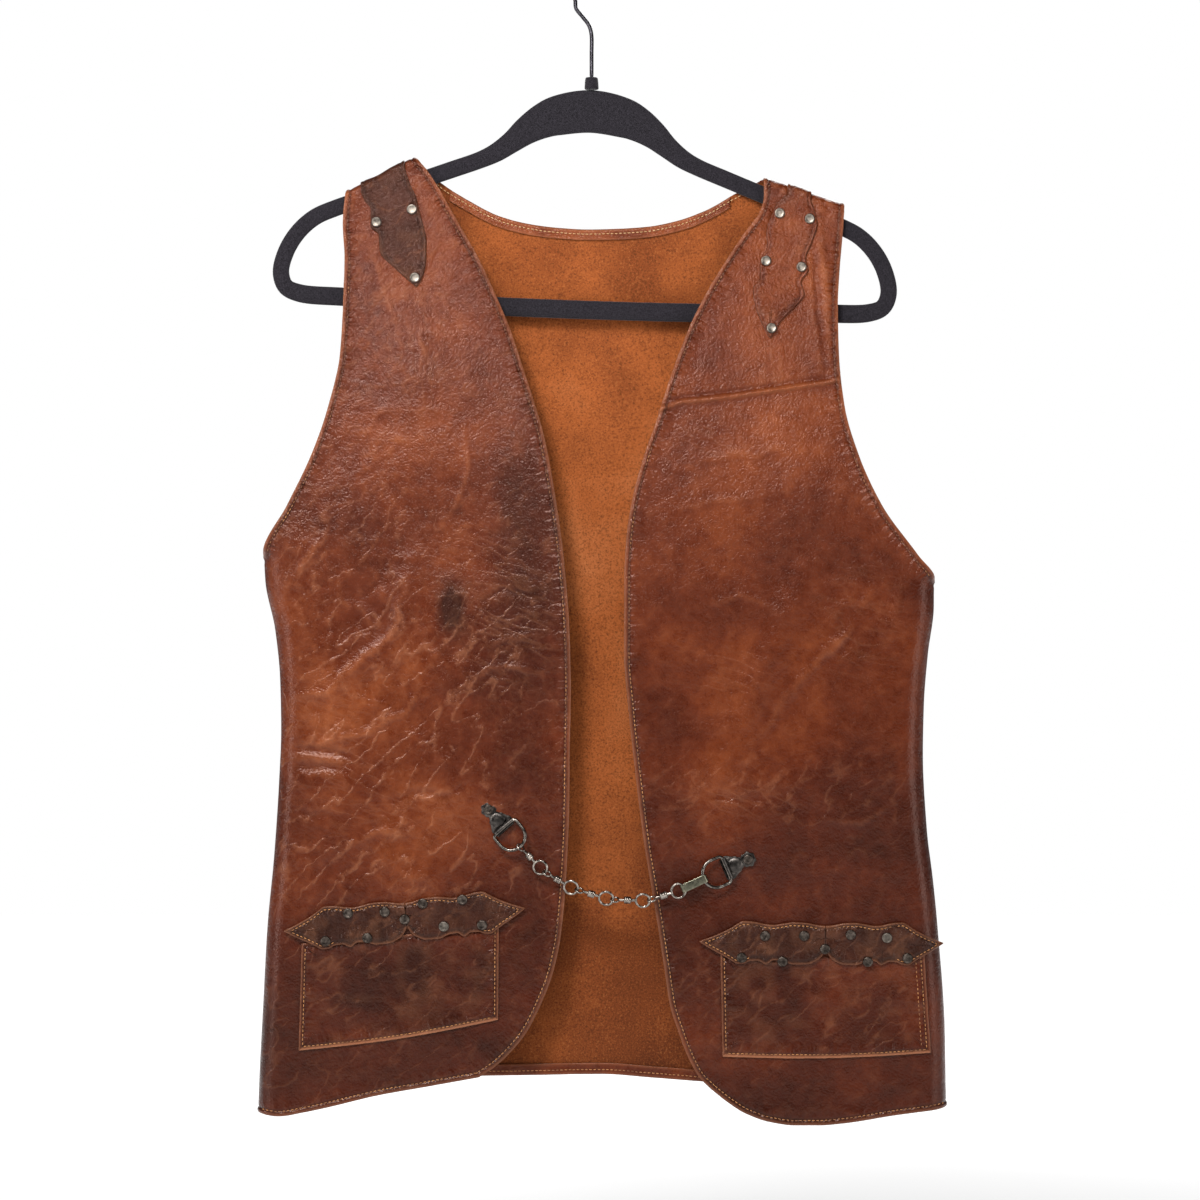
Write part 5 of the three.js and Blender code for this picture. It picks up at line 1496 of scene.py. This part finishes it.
STUD_PROFILE = np.array([(0, 0.8), (0.4, 0.81), (0.58, 0.86), (0.7, 0.96), (0.78, 1.0), (0.88, 0.93),
                         (0.97, 0.55), (1.0, 0.2), (0.97, 0.0), (0, 0)]) * [RIVET_RADIUS, RIVET_HEIGHT]


FORWARD = np.array([0, -1.0, 0])


def axes_along(out):
    """Two axes square to a direction, and the direction."""
    out = unit(np.asarray(out, float))
    side = unit(np.cross((0, 0, 1), out))
    return side, np.cross(out, side), out


def stud(node, origin, out, finish=stud_dark):
    """Turned cap whose axis points out of the leather."""
    cap = placed(lathe(STUD_PROFILE), origin, *axes_along(out))
    return metal_piece(node + "_stud", [cap], finish, node)


for start, (side, layer, places) in RIVETS.items():
    for k, (x, z) in enumerate(places):
        place = np.array([x]), np.array([z])
        lift = sum(SEWN[layer]) + 0.1
        origin = lay_on(layer, side, *place, np.array([lift]))[0]
        out = FORWARD if layer == "trim" else facing_out("front_" + side, *place)[0]
        worn_bright = layer == "patch" or (start, k) in BRIGHT_STUDS
        stud(f"{start}{k + 1}", origin, out, stud_nickel if worn_bright else stud_dark)
print("studs on the leather:", sum(len(row[2]) for row in RIVETS.values()))

# %% [markdown]
# Each clasp is a bell-shaped plate whose end is rolled round the bar of a D-ring. The D is a wire
# loop that leans off the leather, and its far end is where the chain hooks in.

# %% Clasps and D-rings
CLASPS = {"right": (-61.9, -626, -49.2), "left": (95.4, -655.2, 203)}
D_WIRE, D_HALF_WIDTH, D_REACH, D_TILT = 1.2, 10.0, 18.0, np.radians(12)
ROLL_LENGTH, CLASP_THICK, RIVET_BACK = 15.0, 1.0, 16.8
ROLL_INNER = D_WIRE + GAP
ROLL_OUTER = ROLL_INNER + CLASP_THICK
BAR_LIFT = GAP + ROLL_OUTER


def curve_between(a, control, b, count=10):
    """Quadratic curve from a to b drawn towards a control point."""
    t = np.linspace(0, 1, count, endpoint=False)[:, None]
    return (1 - t) ** 2 * np.array(a) + 2 * t * (1 - t) * np.array(control) + t ** 2 * np.array(b)


def arc(centre, radius, start, end, count=24):
    """Points of an arc from the start angle to the end angle."""
    t = np.linspace(start, end, count)
    return np.array(centre) + radius * on_circle(t)


def plate(outline, low, high, edge=0.3):
    """Flat plate with an outline: its upper and lower rims are rounded over the edge distance."""
    ahead = unit(np.roll(outline, -1, axis=0) - np.roll(outline, 1, axis=0))
    inward = np.stack([-ahead[:, 1], ahead[:, 0]], axis=-1)
    part = edge * 0.3
    levels = [
        (edge, low), (part, low + part), (0, low + edge),
        (0, high - edge), (part, high - part), (edge, high)]
    rings = np.concatenate([
        np.column_stack([outline + inward * move, np.full(len(outline), z)]) for move, z in levels])
    return rings, tube_faces(len(levels), len(outline))


def bell_outline():
    """Bell-shaped plate: flared corners, a waist with small ears, and a scalloped head under its stud."""
    half = ROLL_LENGTH / 2
    turn = np.linspace(0.62, 2 * np.pi - 0.62, 60)
    radius = 5.3 + 0.4 * np.cos(7 * turn)
    head = np.array([-RIVET_BACK, 0]) + radius[:, None] * on_circle(turn)
    flank = np.concatenate([
        curve_between((0, half), (-1.8, 9.4), (-4.0, 8.2)),
        curve_between((-4.0, 8.2), (-6.4, 6.2), (-9.4, 5.6)),
        curve_between((-9.4, 5.6), (-10.6, 3.6), (-12, 3.9))])
    return np.concatenate([flank, head, (flank * [1, -1])[::-1], [(0, -half)]])


DOME = np.array([(0, 1), (0.35, 0.94), (0.6, 0.8), (0.8, 0.56), (0.93, 0.28), (1, 0), (0, 0)])
DOME_REACH, DOME_HALF, DOME_RISE = 6.0, 5.4, 1.3


def dome():
    """Low bulge pressed into the middle of the bell: a lathed cap stretched to an oval."""
    points, faces = lathe(DOME)
    return points * [DOME_REACH, DOME_HALF, DOME_RISE] + [-6.6, 0, GAP + CLASP_THICK - 0.05], faces


def rolled_end():
    """Sheet end rolled round the bar: a thick arc carried across the plate's width."""
    turn = np.linspace(np.pi * 0.8, np.pi * 2.5, 36)
    section = np.concatenate([ROLL_OUTER * on_circle(turn), ROLL_INNER * on_circle(turn[::-1])])
    x, z = -section[:, 0], -section[:, 1]
    y = np.linspace(-ROLL_LENGTH / 2, ROLL_LENGTH / 2, 12)[:, None]
    points = np.stack([x + 0 * y, y + 0 * x, -z + BAR_LIFT + 0 * y], axis=-1)
    return points.reshape(-1, 3), tube_faces(12, len(section))


def d_loop():
    """Closed loop of a D: a straight bar, then a half circle that reaches out."""
    centre = D_REACH - D_HALF_WIDTH
    bend = arc((centre, 0), D_HALF_WIDTH, np.pi / 2, -np.pi / 2, 40)
    bar = np.stack([np.zeros(14), np.linspace(-D_HALF_WIDTH + 2, D_HALF_WIDTH - 2, 14)], axis=-1)
    corner = arc((2.2, D_HALF_WIDTH - 2.2), 2.2, np.pi, np.pi / 2, 7)[1:]
    flat = np.concatenate([bar, corner, bend, (corner * [1, -1])[::-1]])
    return np.column_stack([flat, np.zeros(len(flat))])


# %% Place the clasps and rings
ring_end = {}
for side, (x, z, turn) in CLASPS.items():
    turn = np.radians(turn)
    reach = np.array([np.cos(turn), 0, np.sin(turn)])
    axes = ((x, -FULL_DEPTH["front"], z), reach, np.cross(FORWARD, reach), FORWARD)
    parts = [plate(bell_outline(), GAP, GAP + CLASP_THICK), rolled_end(), dome()]
    metal_piece(f"clasp_{side}_plate", [placed(part, *axes) for part in parts], gunmetal, f"clasp_{side}")
    loop, loop_faces = sweep(d_loop(), circle(D_WIRE), closed=True, up=(0, 0, 1))
    c, s = np.cos(-D_TILT), np.sin(-D_TILT)
    lean = np.array([[c, 0, -s], [0, 1, 0], [s, 0, c]])
    ringed = loop @ lean + [0, 0, BAR_LIFT]
    metal_piece(f"d_ring_{side}_wire", [placed((ringed, loop_faces), *axes)], dark_nickel, f"d_ring_{side}")
    ring_end[side] = frame_points((np.array([[D_REACH, 0, 0]]) @ lean + [0, 0, BAR_LIFT]), *axes)[0]
    stud(f"rivet_clasp_{side}", frame_points([[-RIVET_BACK, 0, GAP + CLASP_THICK + 0.1]], *axes)[0], FORWARD)
print("ring ends:", ring_end)

# %% [markdown]
# The chain hangs between the two D-rings on a measured curve. A link is an eye, a wound neck and a
# ring, each turned against the next, and a folded strip closes the run at the left ring.

# %% Chain
CHAIN_RUN = [(-50, -639.7), (-37.3, -652.9), (-22.4, -664.6), (-9, -669.8), (3.2, -674.2), (17.8, -676.8),
             (31, -677.6), (44.5, -675.8), (61.4, -670.4)]
LINK_COUNT, LINK_STEP = 5, 6.2
RING_RADIUS, RING_WIRE, EYE_RADIUS, EYE_WIRE, BARREL_RADIUS = 5.0, 0.85, 2.9, 0.7, 2.7
NECK_RADIUS, COIL_HALF = 1.0, 2.2


def through(points, count=600):
    """Curve through points whose tangents are half the difference of the points beside each."""
    points = np.asarray(points, float)
    padded = np.concatenate([[2 * points[0] - points[1]], points, [2 * points[-1] - points[-2]]])
    t = np.linspace(0, len(points) - 1 - 1e-9, count)
    i = t.astype(int)
    s = (t - i)[:, None]
    p0, p1, p2, p3 = (padded[i + k] for k in range(4))
    square, cube = 2 * p0 - 5 * p1 + 4 * p2 - p3, 3 * p1 - p0 - 3 * p2 + p3
    return 0.5 * (2 * p1 + (p2 - p0) * s + square * s ** 2 + cube * s ** 3)


def torus(radius, wire, lean, centre=0.0, sides=10, rounds=40):
    """Ring of wire round the z axis, leaned about x and moved along x."""
    loop = np.column_stack([circle(radius, rounds), np.zeros(rounds)])
    points, faces = sweep(loop, circle(wire, sides), closed=True, up=(0, 0, 1))
    c, s = np.cos(lean), np.sin(lean)
    points = points @ np.array([[1, 0, 0], [0, c, s], [0, -s, c]]) + [centre, 0, 0]
    return points, faces


def wound_neck(start, end):
    """Twisted wire from the eye to the ring: thin at both ends and wound in a short coil at its middle.
    Its radius is the neck's plus a bell of coil, ridged by a half round that follows a helix."""
    x = np.linspace(start, end, 70)[:, None]
    angle = turns(18)[None]
    turn = x / 1.35 - angle / (2 * np.pi)
    wave = np.sqrt(np.clip(1 - (2 * (turn - np.floor(turn)) - 1) ** 2, 0, 1))
    off = np.abs(x - (start + end) / 2)
    coil = 1 - ease((off - COIL_HALF) / 0.7)
    near_end = np.minimum(x - start, end - x)
    radius = NECK_RADIUS + coil * (BARREL_RADIUS - NECK_RADIUS - 0.45 + 0.45 * wave)
    radius = radius * (0.3 + 0.7 * quarter(near_end / 0.8))
    points = np.stack([x + 0 * angle, radius * np.cos(angle), radius * np.sin(angle)], axis=-1)
    return points.reshape(-1, 3), tube_faces(len(x), points.shape[1])


# %% Hang the chain
chain_y = (ring_end["right"][1] + ring_end["left"][1]) / 2
run = through([(x, chain_y, z) for x, z in CHAIN_RUN])
length = lengths_along(run)
link_length = (length[-1] - (LINK_COUNT - 1) * LINK_STEP) / LINK_COUNT


def at_length(s):
    """Point of the chain's run at a length along it."""
    return np.array([np.interp(s, length, run[:, k]) for k in range(3)])


ring_centres = []
for k in range(LINK_COUNT):
    start = at_length(k * (link_length + LINK_STEP))
    end = at_length(k * (link_length + LINK_STEP) + link_length)
    reach = unit(end - start)
    span = np.linalg.norm(end - start)
    lean = 0.0 if k == LINK_COUNT - 1 else np.radians(20)
    parts = [torus(EYE_RADIUS, EYE_WIRE, np.radians(-60)), torus(RING_RADIUS, RING_WIRE, lean, centre=span),
             wound_neck(EYE_RADIUS - 0.3, span - RING_RADIUS + 0.4)]
    axes = (start, reach, np.cross(FORWARD, reach), FORWARD)
    link = f"chain_link_{k + 1}"
    metal_piece(link + "_wire", [placed(part, *axes) for part in parts], nickel_old, link)
    ring_centres.append(end)

print("length of a link in mm:", round(link_length, 2))

# %% Connector
CONNECTOR_WIDTH, CONNECTOR_HOLE, CONNECTOR_WALL = 5.7, 1.6, 0.8


def fall_back(radius):
    """How far a circle falls back at half the connector's width from its foremost point."""
    return radius - np.sqrt(radius ** 2 - (CONNECTOR_WIDTH / 2) ** 2)


pull = ring_end["left"] - ring_centres[-1]
pull_length = np.linalg.norm(pull)
pull /= pull_length
hole_from = RING_RADIUS - fall_back(RING_RADIUS) - RING_WIRE - GAP
hole_to = pull_length + fall_back(D_HALF_WIDTH) + D_WIRE + GAP
straight = hole_to - hole_from - 2 * CONNECTOR_HOLE
middle = CONNECTOR_HOLE + CONNECTOR_WALL / 2
quarter_turn = np.pi / 2
loop = np.concatenate([arc((straight, 0), middle, -quarter_turn, quarter_turn, 18),
                       arc((0, 0), middle, quarter_turn, 3 * quarter_turn, 18)])
loop = np.column_stack([loop[:, 0] + hole_from + CONNECTOR_HOLE, loop[:, 1], 0 * loop[:, 0]])
flat_section = superellipse(20, 0.4, 0.4) * [CONNECTOR_WALL / 2, CONNECTOR_WIDTH / 2]
across = unit(np.cross(pull, FORWARD))
folded = sweep(loop, flat_section, closed=True, up=(0, 0, 1))
strip_piece = placed(folded, ring_centres[-1], pull, np.cross(across, pull), across)
metal_piece("chain_connector_strip", [strip_piece], connector_green, "chain_connector")

# %% [markdown]
# ## Hanger
# A thin moulded frame covered in black flock, with a plated wire hook through its neck. The frame
# is an oval section carried round its middle line, wider at the neck, and turned two degrees.

# %% Hanger frame
HANGER_LINE = [
    (0, -116.8, 30.5), (23.8, -120.6, 28.5), (34.4, -125, 25), (45.1, -131.8, 20.4),
    (55.7, -140.6, 15.8), (66.4, -148.4, 13.6), (77, -153.8, 12.2), (98.3, -162, 12),
    (140, -177.6, 11.8), (180, -192.2, 11.8), (194.2, -199.2, 11.8), (205.5, -210, 11.8),
    (213.5, -224, 11.8), (216.7, -239, 11.8), (213, -249, 12), (203, -253.4, 12.8),
    (170, -255, 13.2), (110, -257, 13.2), (55, -258, 13.2)]
BAR_MIDDLE = (0, -258.3, 13.2)
HANGER_THICK = 5.0
HANGER_TILT = np.radians(2)
HANGER_PIVOT_Z = -100.0


def round_loop(points, count):
    """Closed curve through points, spaced by the root of the distances so that corners stay tight."""
    points = np.asarray(points, float)
    ring = np.concatenate([points[-1:], points, points[:2]])
    knots = np.concatenate([[0], np.cumsum(np.linalg.norm(np.diff(ring[:, :2], axis=0), axis=1) ** 0.5)])
    t = np.linspace(knots[1], knots[-2], count, endpoint=False)
    i = np.clip(np.searchsorted(knots, t, side="right") - 1, 1, len(ring) - 3)
    p = [ring[i + k] for k in (-1, 0, 1, 2)]
    q = [knots[i + k][:, None] for k in (-1, 0, 1, 2)]
    t = t[:, None]
    mix = lambda a, b, ta, tb: ((tb - t) * a + (t - ta) * b) / (tb - ta)
    a1, a2, a3 = mix(p[0], p[1], q[0], q[1]), mix(p[1], p[2], q[1], q[2]), mix(p[2], p[3], q[2], q[3])
    b1, b2 = mix(a1, a2, q[0], q[2]), mix(a2, a3, q[1], q[3])
    return mix(b1, b2, q[1], q[2])


mirrored = [(-x, z, wide) for x, z, wide in HANGER_LINE[:0:-1]]
line = round_loop(HANGER_LINE + [BAR_MIDDLE] + mirrored, 360)
c, s = np.cos(-HANGER_TILT), np.sin(-HANGER_TILT)
x, z = line[:, 0], line[:, 1] - HANGER_PIVOT_Z
tilted = np.stack([x * c - z * s, 0 * x, x * s + z * c + HANGER_PIVOT_Z], axis=-1)
oval = superellipse(28, 0.75, 0.6)[None]
wide = line[:, 2:]
sections = np.stack([oval[..., 0] * wide / 2, oval[..., 1] * HANGER_THICK / 2 + 0 * wide], axis=-1)
hanger = sweep(tilted, sections, closed=True, up=(0, 1, 0))
metal_piece("hanger_flocked_frame", [hanger], flock_black, "hanger_frame")

# %% Collar and hook
COLLAR = [
    (0, -101), (4.7, -101), (5, -100.7), (5, -99.5), (4.8, -96), (4.5, -93.6), (4.25, -92.9),
    (3.9, -92.7), (0, -92.7)]
metal_piece("hanger_collar_ring", [lathe(COLLAR, 32)], flock_black, "hanger_collar")

WIRE_RADIUS, HOOK_RADIUS = 1.4, 21.0
bend = arc((0, WIRE_RADIUS - HOOK_RADIUS), HOOK_RADIUS, np.radians(236), np.radians(-14), 30)
stem = [(0, -92.4), (0, -84), (0, -75), (0, -63), (-1.8, -55.6), (-6.2, -49.6), (-11, -43.4)]
path = through([(x, 0, z) for x, z in stem] + [(x, 0, z) for x, z in bend], 220)
length = lengths_along(path)
swell = 0.15 + 0.85 * quarter(np.minimum(length + 0.5, length[-1] - length) / 1.4)
hook = sweep(path, circle(WIRE_RADIUS, 14), up=(0, 1, 0), swell=swell)
metal_piece("hanger_hook_wire", [hook], wire_dark, "hanger_hook")
print("length of the hook's wire in mm:", round(float(length[-1]), 1))

# %% [markdown]
# ## The cut
# A table of the flat size each cloth piece was cut to and its flat area, with its turnings. The loop
# below does nothing with it.

# %% Flat sizes
CUTS = {
    "front_right": (0.235, 0.700, 0.128), "front_left": (0.245, 0.690, 0.134),
    "back": (0.500, 0.690, 0.262),
    "pocket_right": (0.143, 0.078, 0.0105), "pocket_left": (0.149, 0.077, 0.0111),
    "shoulder_patch_right": (0.040, 0.090, 0.0026), "shoulder_patch_left": (0.042, 0.112, 0.0032),
    "trim_right_outer": (0.088, 0.032, 0.0021), "trim_right_inner": (0.086, 0.032, 0.0021),
    "trim_left_outer": (0.086, 0.032, 0.0021), "trim_left_inner": (0.090, 0.032, 0.0021),
    "neck_facing": (0.300, 0.010, 0.0021), "back_hem": (0.465, 0.011, 0.0044)}
main_pieces = {"front_right": fronts["right"], "front_left": fronts["left"], "back": back}
for name, (width, length, area) in CUTS.items():
    if name in main_pieces:
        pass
    elif name in ("neck_facing", "back_hem"):
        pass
    else:
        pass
print("pieces with a flat size:", len(CUTS))
